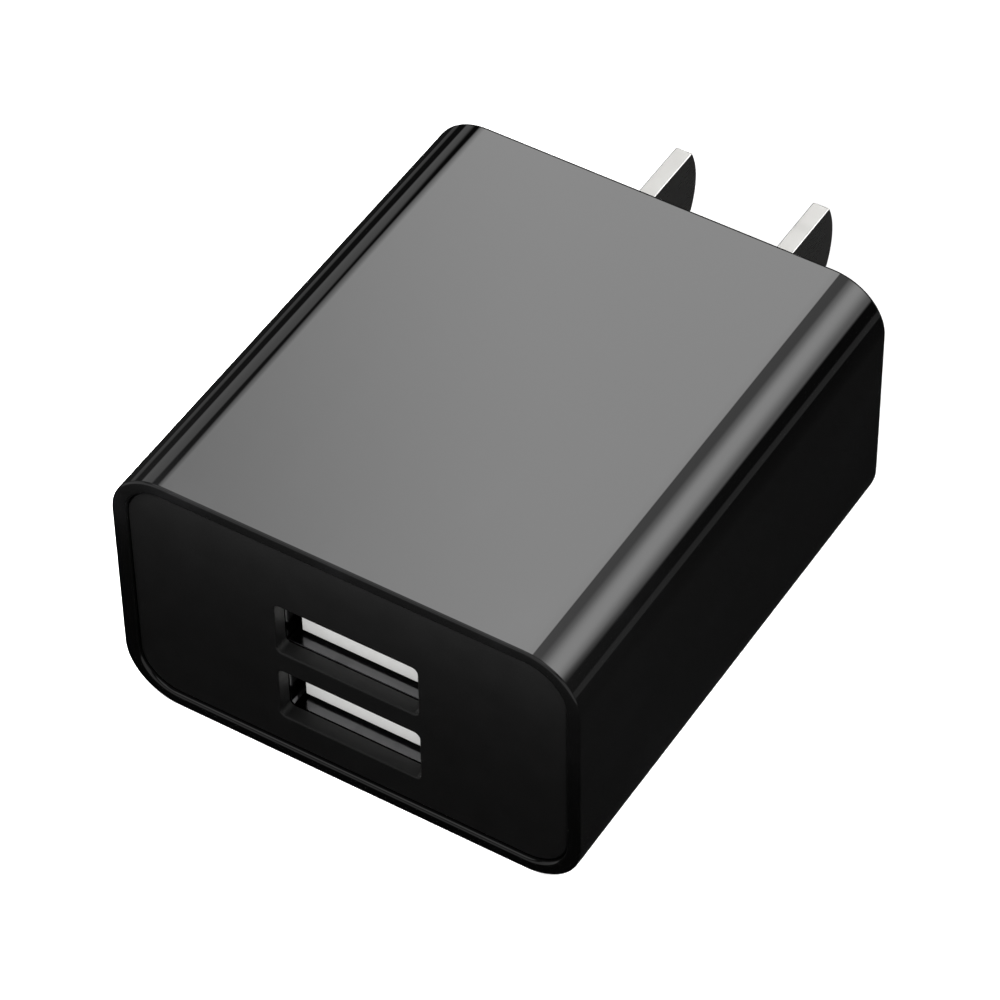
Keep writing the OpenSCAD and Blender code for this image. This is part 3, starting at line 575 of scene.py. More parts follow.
def recipe(name, **inputs):
    """An empty Geometry Nodes tree and a Field for each of its named inputs."""
    tree = bpy.data.node_groups.new(name, "GeometryNodeTree")
    for title, kind in inputs.items():
        tree.interface.new_socket(title, in_out="INPUT", socket_type="NodeSocket" + kind)
    tree.interface.new_socket("Geometry", in_out="OUTPUT", socket_type="NodeSocketGeometry")
    source = tree.nodes.new("NodeGroupInput")
    return Field(tree), {title: Field(tree, source.outputs[title]) for title in inputs}


def finish_recipe(geometry, material):
    """Ends a tree: real geometry in place of instances, with its material."""
    real = geometry.node("GeometryNodeRealizeInstances", None, {0: geometry})
    painted = real.node("GeometryNodeSetMaterial", None, {"Geometry": real, "Material": material})
    sink = geometry.tree.nodes.new("NodeGroupOutput")
    geometry.tree.links.new(painted.socket, sink.inputs["Geometry"])
    return geometry.tree


def new_piece(name, mesh):
    piece = bpy.data.objects.new(name, mesh)
    scene.collection.objects.link(piece)
    return piece


def plain(piece):
    """Makes what the modifiers show the piece's own mesh, and removes them."""
    graph = bpy.context.evaluated_depsgraph_get()
    graph.update()
    mesh = bpy.data.meshes.new_from_object(piece.evaluated_get(graph), depsgraph=graph)
    piece.modifiers.clear()
    piece.data = mesh
    return piece


def grow(name, tree, **inputs):
    """Runs a tree once with these inputs and returns the result as a plain mesh piece."""
    piece = new_piece(name, bpy.data.meshes.new(name))
    modifier = piece.modifiers.new(name, "NODES")
    modifier.node_group = tree
    for item in tree.interface.items_tree:
        if item.in_out == "INPUT" and item.name in inputs:
            modifier[item.identifier] = inputs[item.name]
    return plain(piece)


print("node tree helpers are ready")

# %% [markdown]
# Merged corners, sharp creases and face-weighted normals give flat faces a truly flat shine
# right up to the rounded edges beside them. A real moulded or stamped part has no razor edges,
# so most boxy CAD nodes are copied, welded and given a fine bevel.

# %% Mesh helpers
CREASE = radians(32)
CAD_WELD, WELD = 1e-6, 1e-7      # corners closer than this are one, in metres


def shade(piece, crease=CREASE):
    """Smooth shading with sharp creases, weighted so that large faces stay flat."""
    piece.data.shade_smooth()
    piece.data.set_sharp_from_angle(angle=crease)
    weights = piece.modifiers.new("flat faces", "WEIGHTED_NORMAL")
    weights.keep_sharp = True
    return plain(piece)


def as_piece(name, bm):
    """A new piece from a bmesh as it stands."""
    mesh = bpy.data.meshes.new(name)
    bm.to_mesh(mesh)
    bm.free()
    return new_piece(name, mesh)


def from_bmesh(name, bm):
    """A new piece from a bmesh, with its corners merged and its faces turned outward."""
    bmesh.ops.remove_doubles(bm, verts=bm.verts, dist=WELD)
    bmesh.ops.recalc_face_normals(bm, faces=bm.faces)
    return as_piece(name, bm)


def outward(piece, fill=False):
    """The same piece with its faces turned outward, and its holes filled first if asked."""
    bm = bmesh.new()
    bm.from_mesh(piece.data)
    if fill:
        bmesh.ops.holes_fill(bm, edges=[e for e in bm.edges if e.is_boundary])
    bmesh.ops.recalc_face_normals(bm, faces=bm.faces)
    bm.to_mesh(piece.data)
    bm.free()
    return piece


def shape_span(piece):
    """The low and high corner of a piece's mesh."""
    points = [v.co for v in piece.data.vertices]
    return ([min(p[i] for p in points) for i in range(3)],
            [max(p[i] for p in points) for i in range(3)])


def compare(piece, low, high):
    """Prints a piece's span in mm beside that of the CAD node that it stands for."""
    print([round(v / MM, 3) for c in shape_span(piece) for v in c], "against",
          [round(v / MM, 3) for c in (low, high) for v in c])


def cad_copy(node, name):
    """A CAD node's mesh, welded, with its flat faces made whole again."""
    bm = bmesh.new()
    bm.from_mesh(frame["nodes"][node].data)
    bmesh.ops.remove_doubles(bm, verts=bm.verts, dist=CAD_WELD)
    bmesh.ops.dissolve_limit(bm, angle_limit=radians(0.3), verts=bm.verts, edges=bm.edges)
    return as_piece(name, bm)


def round_edges(piece, radius, segments=2):
    edge = piece.modifiers.new("edges", "BEVEL")
    edge.width, edge.segments = radius, segments
    edge.limit_method, edge.angle_limit = "ANGLE", CREASE
    edge.use_clamp_overlap = True
    return plain(piece)


def combine(piece, other, operation):
    """Joins another piece to this one, or cuts it away, and removes the other."""
    boolean = piece.modifiers.new(operation, "BOOLEAN")
    boolean.operation, boolean.object, boolean.solver = operation, other, "EXACT"
    plain(piece)
    bpy.data.objects.remove(other)
    return piece


def add_box(bm, low, high):
    size = Vector(high) - Vector(low)
    place = Matrix.Translation((Vector(high) + Vector(low)) / 2) @ Matrix.Diagonal((*size, 1))
    bmesh.ops.create_cube(bm, size=1, matrix=place)


def boxes(name, spans):
    """A piece made of boxes, each given by its low and high corners."""
    bm = bmesh.new()
    for low, high in spans:
        add_box(bm, low, high)
    return as_piece(name, bm)


def wear(piece, material, body, slot, *nodes):
    """Gives a piece its finish, puts it on a body and hides the CAD nodes that it stands for."""
    piece.data.materials.clear()
    piece.data.materials.append(material)
    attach(piece, body)
    if nodes:
        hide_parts(*nodes)
    return piece


def report(piece):
    """Prints how many faces a piece has, and how many edges don't join two of them."""
    bm = bmesh.new()
    bm.from_mesh(piece.data)
    loose = sum(1 for e in bm.edges if len(e.link_faces) != 2)
    print(f"{piece.name}: {len(bm.faces)} faces, {loose} open edges")
    bm.free()
    return piece


print("mesh helpers are ready")

# %% [markdown]
# ## The housing
# The real housing is one moulded tube with a back wall. Its wall has the same section all the
# way round, so it is drawn once, as a line from the outside of the back to its inside, and swept
# round a rectangle with filleted corners. The section holds what a plain box lacks: a soft front
# edge, the step that the panel sits on, and a rounded back edge. The sweep leaves a hole at the
# back, inside and outside, and filling both makes the back wall. Ribs, rails and posts are
# joined on, and the slots for the blades are cut through.

# %% Wall section
CORNER_RADIUS = 4.75 * MM
SIDE_WALL = 1.6 * MM
BACK_WALL = 2.2 * MM
RIM = 1.2 * MM
FRONT_EDGE = 0.22 * MM
RIM_EDGE = 0.3 * MM
BACK_EDGE = 0.35 * MM
LIP = 4 * MM             # how far the swept section reaches inwards at the back
panel_low, panel_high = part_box("front_panel")
PANEL_THICK = 1.3 * MM
ledge = panel_low.y + PANEL_THICK


def arc(centre, radius, start, end, steps=5):
    """Points on an arc, in degrees, from start to end."""
    angles = [radians(start + (end - start) * i / steps) for i in range(steps + 1)]
    return [(centre[0] + radius * cos(a), centre[1] + radius * sin(a)) for a in angles]


front, rear = shell_low.y, shell_high.y
wall_section = (
    [(LIP, rear)] + arc((BACK_EDGE, rear - BACK_EDGE), BACK_EDGE, 90, 180)
    + arc((FRONT_EDGE, front + FRONT_EDGE), FRONT_EDGE, 180, 270)
    + arc((RIM - RIM_EDGE, front + RIM_EDGE), RIM_EDGE, 270, 360)
    + [(RIM, ledge), (SIDE_WALL, ledge), (SIDE_WALL, rear - BACK_WALL), (LIP, rear - BACK_WALL)]
)


def flat_curve(name, points, closed=True):
    """A curve through points in the XY plane."""
    data = bpy.data.curves.new(name, "CURVE")
    data.dimensions = "3D"
    spline = data.splines.new("POLY")
    spline.points.add(len(points) - 1)
    for point, (x, y) in zip(spline.points, points):
        point.co = (x, y, 0, 1)
    spline.use_cyclic_u = closed
    return new_piece(name, data)


section_curve = flat_curve("wall section", [(depth, inset) for inset, depth in wall_section],
                           closed=False)
print("the wall's section has", len(wall_section), "points")

# %% Sweep tree
start, given = recipe("swept wall", Width="Float", Height="Float", Radius="Float", Steps="Int",
                      Rise="Float", Section="Object", Finish="Material")


def shape_of(thing):
    return thing.node("GeometryNodeObjectInfo", None, {"Object": thing}, "Geometry")


path = start.node("GeometryNodeCurvePrimitiveQuadrilateral", None,
                  {"Width": given["Width"], "Height": given["Height"]})
path = path.node("GeometryNodeFilletCurve", {"mode": "POLY"},
                 {"Curve": path, "Radius": given["Radius"], "Count": given["Steps"]})
lift = start.node("ShaderNodeCombineXYZ", None, {"Z": given["Rise"]})
path = path.node("GeometryNodeTransform", None,
                 {"Geometry": path, "Translation": lift, "Rotation": (pi / 2, 0, 0)})
tube = path.node("GeometryNodeCurveToMesh", None,
                 {"Curve": path, "Profile Curve": shape_of(given["Section"])})
shell_tree = finish_recipe(tube, given["Finish"])
print("the sweep has", len(shell_tree.nodes), "nodes")

# %% Pieces of the housing
WEB = 0.8 * MM           # overlap of one joined shape with the next
board_low, board_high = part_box("main_board")
BLADE_SLOT = 0.05 * MM
# the CAD model's own sizes, which its meshes don't name
POST_X, POST_RADIUS, POST_REACH = 10.35 * MM, 1 * MM, 6 * MM
RAIL_OVER, RAIL_GAP, RAIL_HEIGHT = 0.8 * MM, 0.1 * MM, 1 * MM
FOOT_INSET, FOOT_WIDTH = 0.9 * MM, 1 * MM
blade_half = blade_sheet / 2 + BLADE_SLOT
BLADE_HEIGHT = 6.35 * MM
wall_mid = shell_high.x - SIDE_WALL / 2

spans = []
for side in (-1, 1):
    foot_x = side * (board_high.x - FOOT_INSET)
    spans.append(((foot_x - FOOT_WIDTH / 2, board_low.y, shell_low.z + SIDE_WALL / 2),
                  (foot_x + FOOT_WIDTH / 2, rear - BACK_WALL / 2, board_low.z)))
    rail_x = sorted((side * (board_high.x - RAIL_OVER), side * wall_mid))
    spans.append(((rail_x[0], board_low.y, board_high.z + RAIL_GAP),
                  (rail_x[1], rear - BACK_WALL / 2, board_high.z + RAIL_GAP + RAIL_HEIGHT)))
bm = bmesh.new()
for low, high in spans:
    add_box(bm, low, high)
for side in (-1, 1):
    along = Matrix.Translation((side * POST_X, -BACK_WALL - POST_REACH / 2 + WEB, 0))
    bmesh.ops.create_cone(bm, cap_ends=True, segments=32, radius1=POST_RADIUS, radius2=POST_RADIUS,
                          depth=POST_REACH, matrix=along @ Matrix.Rotation(pi / 2, 4, "X"))
insides = from_bmesh("insides", bm)
slot_half = BLADE_HEIGHT / 2 + BLADE_SLOT
cuts = boxes("slots", [((side * blade_x - blade_half, rear - 2 * BACK_WALL, -slot_half),
                        (side * blade_x + blade_half, rear + BACK_WALL, slot_half))
                       for side in (-1, 1)])
housing_shell = grow("housing_shell", shell_tree, Width=shell_high.x - shell_low.x,
                     Height=shell_high.z - shell_low.z, Radius=CORNER_RADIUS, Steps=24,
                     Rise=middle.z, Section=section_curve)
outward(housing_shell, fill=True)
combine(combine(housing_shell, insides, "UNION"), cuts, "DIFFERENCE")
bpy.data.objects.remove(section_curve)
shade(report(housing_shell))

# %% [markdown]
# ## The front panel
# The panel is a thin plate with two openings. Each outline is a rounded rectangle, so an inset
# copy of it is another rounded rectangle with a smaller radius. Stacking such copies while the
# depth changes gives every edge a small true round, which catches a thin line of light. The two
# flat faces are filled between the outlines.

# %% Plate with rounded edges


def rounded(width, height, radius, rise, steps=8):
    """Points (x, z) of a rounded rectangle whose middle is at height rise."""
    points = []
    for corner, (sx, sz) in enumerate(((1, -1), (1, 1), (-1, 1), (-1, -1))):
        centre = (sx * (width / 2 - radius), rise + sz * (height / 2 - radius))
        points += arc(centre, radius, corner * 90 - 90, corner * 90, steps)
    return points


def pierced_plate(name, outline, holes, front_y, back_y, edge, steps=3):
    """A plate along Y. outline and each hole give their points for a growth in metres."""
    bm = bmesh.new()
    front_rings, back_rings = [], []
    for shape, way in [(outline, -1)] + [(hole, 1) for hole in holes]:
        ring = None
        for i in range(steps + 1):
            a = pi / 2 * i / steps
            grown, depth = way * edge * (1 - sin(a)), front_y + edge * (1 - cos(a))
            last, ring = ring, [bm.verts.new((x, depth, z)) for x, z in shape(grown)]
            if last:
                join_rings(bm, last, ring)
            else:
                front_rings.append(ring)
        end = [bm.verts.new((x, back_y, z)) for x, z in shape(0)]
        join_rings(bm, ring, end)
        back_rings.append(end)
    for rings in (front_rings, back_rings):
        every = [v for ring in rings for v in ring]
        for triangle in tessellate_polygon([[v.co for v in ring] for ring in rings]):
            bm.faces.new([every[i] for i in triangle])
    return from_bmesh(name, bm)


def join_rings(bm, a, b):
    for i in range(len(a)):
        j = (i + 1) % len(a)
        bm.faces.new((a[i], a[j], b[j], b[i]))


print("plates are ready")

# %% Front panel
PANEL_RADIUS = 3.45 * MM
PANEL_EDGE = 0.12 * MM
PLATE_CREASE = radians(12)  # parts the flat face from its rounds, so long triangles stay flat
PORT_WIDTH, PORT_HEIGHT, PORT_RADIUS = 12.5 * MM, 5.12 * MM, 0.5 * MM
PANEL_GAP = 0.1 * MM        # between the panel and the rim
SNAP_CATCH, SNAP_THICK, SNAP_WIDTH = 0.45 * MM, 1 * MM, 5 * MM
SNAP_LAND, SNAP_STEP = 1.2 * MM, 0.2 * MM
upper_low, upper_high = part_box("upper_insulator")
lower_low, lower_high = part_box("lower_insulator")
port_heights = [(upper_low.z + upper_high.z) / 2, (lower_low.z + lower_high.z) / 2]
panel_width = shell_high.x - shell_low.x - 2 * (RIM + PANEL_GAP)
panel_height = shell_high.z - shell_low.z - 2 * (RIM + PANEL_GAP)


def port_hole(rise):
    return lambda grown: rounded(PORT_WIDTH + 2 * grown, PORT_HEIGHT + 2 * grown,
                                 PORT_RADIUS + grown, rise)


panel_plate = pierced_plate(
    "front_plate",
    lambda grown: rounded(panel_width + 2 * grown, panel_height + 2 * grown,
                          PANEL_RADIUS + grown, middle.z, 12),
    [port_hole(rise) for rise in port_heights], panel_low.y, ledge, PANEL_EDGE)
for side in (-1, 1):
    catch, arm_out = side * panel_high.x, side * (panel_high.x - SNAP_CATCH)
    arm_in = arm_out - side * SNAP_THICK
    catch_end = panel_high.y - SNAP_LAND - SNAP_STEP
    outline_xy = [(arm_in, ledge - WEB), (arm_in, panel_high.y), (arm_out, panel_high.y),
                  (catch, panel_high.y - SNAP_LAND), (catch, catch_end),
                  (arm_out, catch_end), (arm_out, ledge - WEB)]
    bm = bmesh.new()
    rings = [[bm.verts.new((x, y, middle.z + end * SNAP_WIDTH / 2)) for x, y in outline_xy]
             for end in (-1, 1)]
    join_rings(bm, *rings)
    for ring in rings:
        bm.faces.new(ring)
    combine(panel_plate, from_bmesh("snap", bm), "UNION")
shade(report(panel_plate), PLATE_CREASE)

# %% [markdown]
# ## What the two outer pieces wear

# %% Dress the housing and panel
black_gloss = gloss_black()
black_satin = satin_black()
wear(housing_shell, black_gloss, "charger", "housing", "housing")
wear(panel_plate, black_satin, "charger", "panel", "front_panel")
print("housing and panel are finished")

# %% [markdown]
# ## The blades
# Each blade is cut from 1.5 mm strip. The frame has its outline, so the CAD mesh is copied and
# only its edges are changed: a press leaves them slightly rounded.

# %% Blades
BLADE_EDGE = 0.1 * MM
nickel = blade_nickel()
for side in ("left", "right"):
    blade = round_edges(cad_copy("blade_" + side, side + "_blade"), BLADE_EDGE, 3)
    wear(shade(report(blade)), nickel, "charger", "blade", "blade_" + side)

# %% [markdown]
# ## Sockets, board and the parts that stand on it
# Most of these pieces are plain shapes whose CAD form is already right. What is missing is the
# small round that stamping, sintering and moulding leave on every edge, and a finish. A tongue
# and a shell get a finer round than the ferrite. Leads, seals and the sawn board keep their edges.

# %% Softened pieces
tinned = worked_metal("tinned lead", (0.72, 0.72, 0.7, 1), (0.5, 0.5, 0.5, 1),
                      0.2, (1, 1, 0.1), 0.01)
gold = worked_metal("gold flash", (1.0, 0.74, 0.34, 1), (0.9, 0.62, 0.28, 1),
                    0.3, (1, 0.06, 1), 0.003)
dark_nickel = worked_metal("dark nickel shell", (0.15, 0.15, 0.155, 1), (0.1, 0.1, 0.105, 1),
                           0.13, (0.05, 1, 1), 0.003)
clip_metal = worked_metal("rolled brass strip", (0.72, 0.5, 0.24, 1), (0.55, 0.37, 0.17, 1), 0.24)
tongue_white, sintered, epoxy = white_tongue(), ferrite(), epoxy_body()
frame_black = satin_black("bobbin and carrier plastic", 0.02, 4.0, 0.008)
board_green = solder_mask(board_low, board_high)


def dress_node(node, name, material, slot, radius):
    """A CAD node with its edges rounded, on the body that the node rides on."""
    body = frame["nodes"][node].parent.name.split(":")[1]
    piece = cad_copy(node, name)
    if radius:
        round_edges(piece, radius)
    return wear(shade(report(piece)), material, body, slot, node)


SOFT, FINE, TINY = 0.12 * MM, 0.06 * MM, 0.03 * MM
dress_node("port_shell", "socket_shell", dark_nickel, "receptacle_steel", FINE)
dress_node("port_divider", "socket_divider", dark_nickel, "receptacle_steel", FINE)
for port in ("upper", "lower"):
    dress_node(port + "_insulator", port + "_tongue", tongue_white, "insulator", FINE)
    dress_node(port + "_contact_tails", port + "_tails", gold, "contact", TINY)
dress_node("tail_spacer", "tail_comb", tongue_white, "insulator", FINE)
dress_node("blade_carrier", "carrier_block", frame_black, "carrier", SOFT)
for side in ("left", "right"):
    dress_node("blade_clip_" + side, side + "_clip", clip_metal, "clip", TINY)
dress_node("main_board", "circuit_board", board_green, "board", 0)
for half in ("front", "rear"):
    dress_node("core_" + half, half + "_ferrite", sintered, "ferrite", 2 * SOFT)
dress_node("choke_core", "choke_drum", sintered, "ferrite", SOFT)
dress_node("core_tape", "core_band", wrapped_tape(), "tape", TINY)
dress_node("bobbin", "coil_former", frame_black, "bobbin", FINE)
dress_node("bridge_rectifier", "bridge_body", epoxy, "chip", SOFT)
dress_node("controller_chip", "controller_body", epoxy, "chip", FINE)
dress_node("rectifier_chip", "rectifier_body", epoxy, "chip", FINE)
dress_node("chip_parts", "small_chips", ceramic_chips(), "chip_part", TINY)
green_lacquer = dipped_lacquer("green fuse lacquer", (0.05, 0.2, 0.1, 1), (0.03, 0.12, 0.06, 1))
dress_node("fuse_resistor", "fuse_body", green_lacquer, "fuse", TINY)
blue_lacquer = dipped_lacquer("blue disc lacquer", (0.02, 0.09, 0.36, 1), (0.015, 0.06, 0.26, 1))
dress_node("safety_capacitor", "safety_disc", blue_lacquer, "disc", SOFT)
dress_node("capacitor_seals", "rubber_seals", black_rubber(), "seal", 0)
for leads in ("bridge_leads", "capacitor_leads", "chip_leads", "fuse_leads",
              "safety_capacitor_leads", "transformer_pins"):
    dress_node(leads, "tinned_" + leads, tinned, "lead", 0)

# %% [markdown]
# ## Sprung contacts
# Four strips in each socket rise to a rounded crest, and a plug presses the crests down. Each
# strip is the same flat section swept along the same bent path, set at four places across the
# tongue. A tree does this once for each socket. A strip's bends are true curves, because sheet
# this thin can't hold a sharp kink.

# %% Contact strips
start, given = recipe("contact strips", Path="Object", Places="Object", Bend="Float",
                      Width="Float", Thickness="Float", Finish="Material")
bent = start.node("GeometryNodeFilletCurve", {"mode": "POLY"},
                  {"Curve": shape_of(given["Path"]), "Radius": given["Bend"], "Count": 8})
flat = start.node("GeometryNodeCurvePrimitiveQuadrilateral", None,
                  {"Width": given["Width"], "Height": given["Thickness"]})
flat = start.node("GeometryNodeFilletCurve", {"mode": "POLY"},
                  {"Curve": flat, "Radius": given["Thickness"] * 0.2, "Count": 2})
strip = start.node("GeometryNodeCurveToMesh", None,
                   {"Curve": bent, "Profile Curve": flat, "Fill Caps": True})
strips = start.node("GeometryNodeInstanceOnPoints", None,
                    {"Points": shape_of(given["Places"]), "Instance": strip})
strip_tree = finish_recipe(strips, given["Finish"])
CONTACT_X = (-3.5 * MM, -1 * MM, 1 * MM, 3.5 * MM)
STRIP_WIDTH, STRIP_THICK = 1 * MM, 0.25 * MM
CREST_BACK, TIP_DROP, CREST_BEND = 1 * MM, 0.3 * MM, 1.4 * MM


def bare_points(name, places):
    """A mesh of bare points, for a tree to set things on."""
    mesh = bpy.data.meshes.new(name)
    mesh.from_pydata([tuple(place) for place in places], [], [])
    return new_piece(name, mesh)


for port in ("upper", "lower"):
    low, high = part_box(port + "_contact_beams")
    half = STRIP_THICK / 2
    route = [(low.y, high.z - TIP_DROP - half), (low.y + CREST_BACK, high.z - half),
             (high.y, low.z + half)]
    path = flat_curve("strip path", route, closed=False)
    for point, (y, z) in zip(path.data.splines[0].points, route):
        point.co = (0, y, z, 1)
    rows = bare_points("strip places", [(x, 0, 0) for x in CONTACT_X])
    strips = grow(port + "_contacts", strip_tree, Path=path, Places=rows, Bend=CREST_BEND,
                  Width=STRIP_WIDTH, Thickness=STRIP_THICK, Finish=gold)
    for scrap in (path, rows):
        bpy.data.objects.remove(scrap)
    strips = outward(strips)
    wear(shade(report(strips)), gold, port + "_contacts", "contact", port + "_contact_beams")
    compare(strips, low, high)

# %% [markdown]
# ## Coils
# Wire on a coil repeats the same lap, moved along by one thickness each time. The tree takes a
# straight run of points, finds for each its fraction of a lap, and moves it to that place on
# the lap's outline. The same tree winds the transformer's square coils and the choke's round
# one. A plain tube under the wire stands for the layers that can't be seen.

# %% Coil tree
start, given = recipe("wound wire", Lap="Object", Turns="Float", Length="Float", Steps="Int",
                      Wire="Float", Finish="Material")
run = start.node("GeometryNodeCurvePrimitiveLine", None, {"Start": (0, 0, 0), "End": (0, 0, 1)})
run = start.node("GeometryNodeResampleCurve", None, {"Curve": run, "Count": given["Steps"]})
along = start.node("GeometryNodeSplineParameter", None, None, "Factor")
lap = (along * given["Turns"]).math("FRACT", along * given["Turns"])
on_lap = start.node("GeometryNodeSampleCurve", {"data_type": "FLOAT", "mode": "FACTOR",
                                                "use_all_curves": True},
                    {"Curves": shape_of(given["Lap"]), "Factor": lap}, "Position")
climb = start.node("ShaderNodeCombineXYZ", None, {"Z": along * given["Length"]})
wound_to = start.node("ShaderNodeVectorMath", {"operation": "ADD"}, {0: on_lap, 1: climb})
run = start.node("GeometryNodeSetPosition", None, {"Geometry": run, "Position": wound_to})
ring = start.node("GeometryNodeCurvePrimitiveCircle", None,
                  {"Resolution": 6, "Radius": given["Wire"] * 0.5})
wire = start.node("GeometryNodeCurveToMesh", None,
                  {"Curve": run, "Profile Curve": ring, "Fill Caps": True})
coil_tree = finish_recipe(wire, given["Finish"])
PER_LAP = 36


def wound(name, outline, length, wire, turns, material):
    """Wire laid in one layer on an outline of (x, y) points, rising along Z from 0."""
    lap = flat_curve("lap", outline)
    coil = grow(name, coil_tree, Lap=lap, Turns=float(turns), Length=length - wire,
                Steps=int(turns * PER_LAP), Wire=wire, Finish=material)
    bpy.data.objects.remove(lap)
    return coil


def tube_between(name, outer, inner, length):
    """A closed tube between two outlines of the same count, from Z 0 up to length."""
    bm = bmesh.new()
    rings = [[bm.verts.new((x, y, z)) for x, y in outline]
             for outline, z in ((outer, 0), (outer, length), (inner, length), (inner, 0))]
    for i in range(4):
        join_rings(bm, rings[i], rings[(i + 1) % 4])
    return from_bmesh(name, bm)


def merged(name, *pieces):
    """One piece with the meshes of several, each as it stands."""
    bm = bmesh.new()
    for piece in pieces:
        bm.from_mesh(piece.data)
        bpy.data.objects.remove(piece)
    return as_piece(name, bm)


print("coils can be wound")

# %% Transformer coils
enamel = copper_wire("enamelled copper", (0.72, 0.27, 0.1, 1), (0.5, 0.16, 0.06, 1))
insulated = dipped_lacquer("insulated wire", (0.72, 0.52, 0.08, 1), (0.55, 0.36, 0.04, 1))
COILS = (("primary_winding", "primary_coil", 0.2 * MM, 6.04 * MM, 1.2 * MM, enamel),
         ("secondary_winding", "secondary_coil", 0.5 * MM, 8.08 * MM, 1.5 * MM, insulated))
for node, name, wire, inner_width, corner, material in COILS:
    low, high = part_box(node)
    width, height, length = high.x - low.x, high.z - low.z, high.y - low.y
    wall = (width - inner_width) / 2
    core_line = rounded(width - wire, height - wire, corner, 0)
    inside = rounded(width - 2 * wall, height - 2 * wall, corner - wall / 2, 0)
    coil = wound(name, core_line, length, wire, length // wire, material)
    coil.data.transform(Matrix.Translation((0, 0, wire / 2)))
    coil = merged(name, coil, tube_between("under layers", core_line, inside, length))
    lay = Matrix.Translation((0, high.y, (low.z + high.z) / 2)) @ Matrix.Rotation(pi / 2, 4, "X")
    coil.data.transform(lay)
    wear(shade(report(coil)), material, "charger", "copper", node)
    compare(coil, low, high)
dress_node("winding_tape", "coil_wrap", wrapped_tape(), "tape", TINY)

# %% Choke coil
CHOKE_WIRE, CHOKE_COIL_D, CHOKE_HEIGHT = 0.5 * MM, 4.8 * MM, 3.9 * MM
low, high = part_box("choke_core")
axis = (low + high) / 2
lap = arc((0, 0), CHOKE_COIL_D / 2 - CHOKE_WIRE / 4, 0, 360, 32)[:-1]
coil = wound("choke_wire", lap, CHOKE_HEIGHT, CHOKE_WIRE, CHOKE_HEIGHT // CHOKE_WIRE, enamel)
foot_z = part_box("choke_coil")[1].z - CHOKE_HEIGHT
coil.data.transform(Matrix.Translation((axis.x, axis.y, foot_z + CHOKE_WIRE / 2)))
coil = merged("choke_wire", coil, cad_copy("choke_coil", "choke core layers"))
wear(shade(report(coil)), enamel, "charger", "copper", "choke_coil")

# %% [markdown]
# ## Cans
# A capacitor's can is drawn from aluminium, closed over a rubber seal by a groove rolled into
# its wall, then shrunk into a printed sleeve that folds over its top edge. A can is round, so its
# outline is turned about the axis. Every point keeps its place on its own can, and the finish
# uses that for the stripe, the bare top and the crossed vent.

# %% Capacitor cans
GROOVE_UP, GROOVE_R, GROOVE_STEPS = 1.9 * MM, 0.35 * MM, 5
TOP_DIP, TOP_RIM, TOP_EDGE, TOP_FOLD = 0.15 * MM, 0.9 * MM, 0.5 * MM, 0.05 * MM
FOOT_EDGE, FOOT_BREAK = 0.25 * MM, 0.1 * MM
SEAL_WALL, SEAL_DEPTH, CAN_TURNS = 0.5 * MM, 1.2 * MM, 64
sleeve = can_sleeve()


def turned(name, outline, steps=CAN_TURNS):
    """Turns (radius, height) points about Z. The first and last points lie on the axis."""
    bm = bmesh.new()
    rings = []
    for radius, height in outline:
        count = steps if radius > 0 else 1
        angles = [2 * pi * i / steps for i in range(count)]
        rings.append([bm.verts.new((radius * cos(a), radius * sin(a), height)) for a in angles])
    for a, b in zip(rings, rings[1:]):
        for i in range(steps):
            corners = [a[i % len(a)], a[(i + 1) % len(a)], b[(i + 1) % len(b)], b[i % len(b)]]
            bm.faces.new(list(dict.fromkeys(corners)))
    return from_bmesh(name, bm)


for node in ("input_capacitor_front", "input_capacitor_rear",
             "output_capacitor_left", "output_capacitor_right"):
    low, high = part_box(node)
    radius, height = (high.x - low.x) / 2, high.z - low.z
    outline = [(0, SEAL_DEPTH), (radius - SEAL_WALL, SEAL_DEPTH)]
    outline += [(radius - SEAL_WALL, FOOT_BREAK), (radius - SEAL_WALL + FOOT_BREAK, 0)]
    outline += arc((radius - FOOT_EDGE, FOOT_EDGE), FOOT_EDGE, -90, 0, 4)
    outline += [(radius, GROOVE_UP - 1.6 * GROOVE_R)]
    outline += [(radius - GROOVE_R * (0.5 + 0.5 * cos(pi * t / GROOVE_STEPS)),
                 GROOVE_UP + GROOVE_R * 1.4 * t / GROOVE_STEPS)
                for t in range(-GROOVE_STEPS, GROOVE_STEPS + 1)]
    outline += arc((radius - TOP_EDGE, height - TOP_EDGE), TOP_EDGE, 0, 90, 8)
    outline += [(radius - TOP_RIM, height), (radius - TOP_RIM - TOP_FOLD, height - TOP_DIP)]
    outline += [(0, height - TOP_DIP)]
    can = turned(node.replace("capacitor", "can"), outline)
    local = can.data.attributes.new("on_can", "FLOAT_VECTOR", "POINT")
    for vertex, value in zip(can.data.vertices, local.data):
        value.vector = (vertex.co.x / radius, vertex.co.y / radius, (vertex.co.z - height) / MM)
    can.data.transform(Matrix.Translation(((low.x + high.x) / 2, (low.y + high.y) / 2, low.z)))
    wear(shade(report(can)), sleeve, "charger", "can", node)

# %% [markdown]
# ## Solder
# Under the board each lead ends in a small cone of solder that climbs its sides. The joints are
# one turned shape, set by a tree at the end of every lead and stretched to that lead's section.

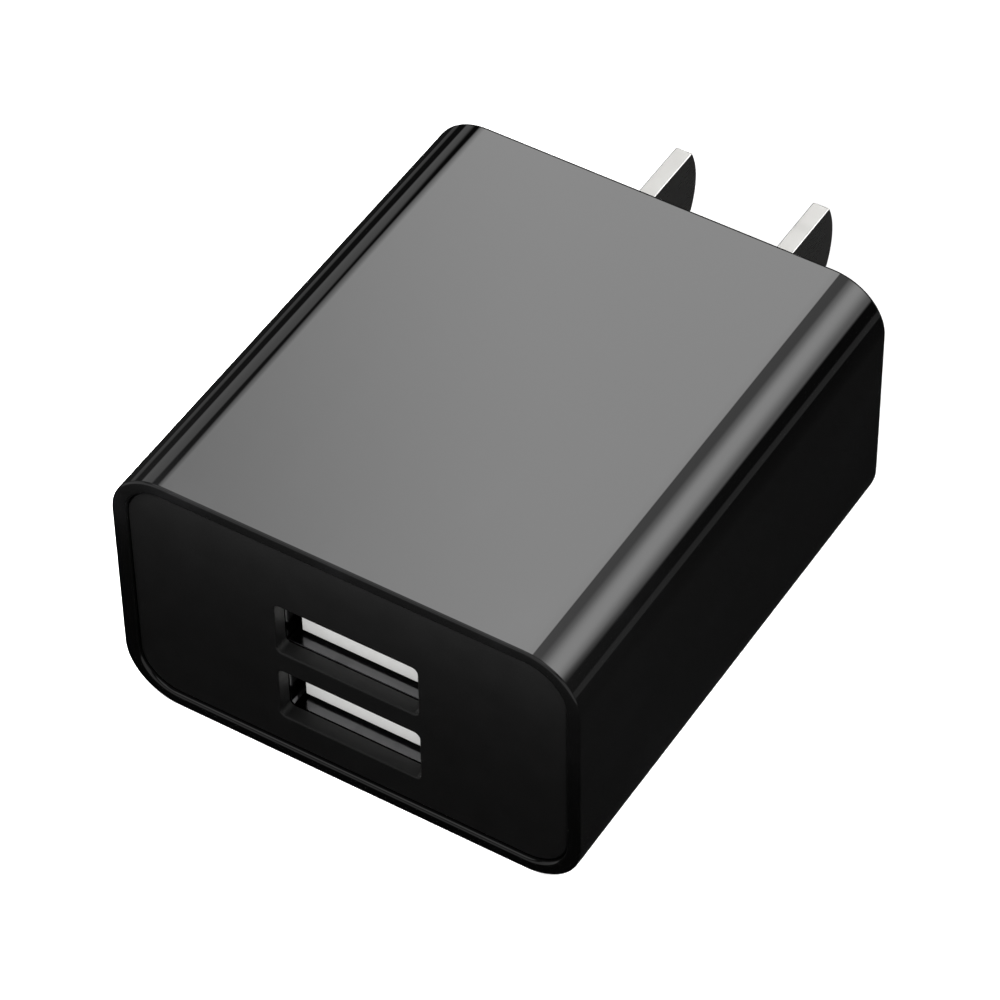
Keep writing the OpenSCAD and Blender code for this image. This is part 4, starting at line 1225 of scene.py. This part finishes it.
# %% Solder joints
PAD_GROWTH, JOINT_HEIGHT = 0.5 * MM, 0.5 * MM
JOINT_SINK = 0.02 * MM   # into the board
SOLDER_CREASE = radians(60)
JOINT_OUTLINE = [(0, 0), (0.5, 0), (0.47, -0.12), (0.33, -0.3), (0.24, -0.6), (0.16, -0.9), (0, -1)]
LEAD_NODES = ("blade_clip_left", "blade_clip_right", "bridge_leads", "capacitor_leads",
              "choke_coil", "fuse_leads", "lower_contact_tails", "port_shell",
              "safety_capacitor_leads", "transformer_pins", "upper_contact_tails")


def lead_ends(node):
    """The middle and size of each lead's cut end, where the node reaches its lowest."""
    mesh = frame["nodes"][node].data
    lowest = min(v.co.z for v in mesh.vertices) + 1e-6
    groups = []
    for face in mesh.polygons:
        points = [mesh.vertices[i].co for i in face.vertices]
        if max(p.z for p in points) > lowest:
            continue
        keys = {(round(p.x, 6), round(p.y, 6)) for p in points}
        near = [g for g in groups if g & keys]
        for group in near:
            keys |= group
            groups.remove(group)
        groups.append(keys)
    ends = []
    for group in groups:
        xs, ys = sorted(k[0] for k in group), sorted(k[1] for k in group)
        ends.append(((xs[0] + xs[-1]) / 2, (ys[0] + ys[-1]) / 2, xs[-1] - xs[0], ys[-1] - ys[0]))
    return sorted(ends)


start, given = recipe("solder joints", Places="Object", Joint="Object", Finish="Material")
stretch_by = start.node("GeometryNodeInputNamedAttribute", {"data_type": "FLOAT_VECTOR"},
                        {"Name": "stretch"}, "Attribute")
joints = start.node("GeometryNodeInstanceOnPoints", None,
                    {"Points": shape_of(given["Places"]), "Instance": shape_of(given["Joint"]),
                     "Scale": stretch_by})
joint_tree = finish_recipe(joints, given["Finish"])
ends = [end for node in LEAD_NODES for end in lead_ends(node)]
joint_shape = turned("joint", JOINT_OUTLINE, 16)
places = bare_points("lead ends", [(x, y, board_low.z + JOINT_SINK) for x, y, wide, deep in ends])
sizes = places.data.attributes.new("stretch", "FLOAT_VECTOR", "POINT")
for (x, y, wide, deep), value in zip(ends, sizes.data):
    value.vector = (wide + 2 * PAD_GROWTH, deep + 2 * PAD_GROWTH, JOINT_HEIGHT)
solder = grow("solder_joints", joint_tree, Places=places, Joint=joint_shape, Finish=tinned)
for scrap in (places, joint_shape):
    bpy.data.objects.remove(scrap)
wear(shade(report(outward(solder)), SOLDER_CREASE), tinned, "charger", "lead")
print(len(ends), "solder joints")
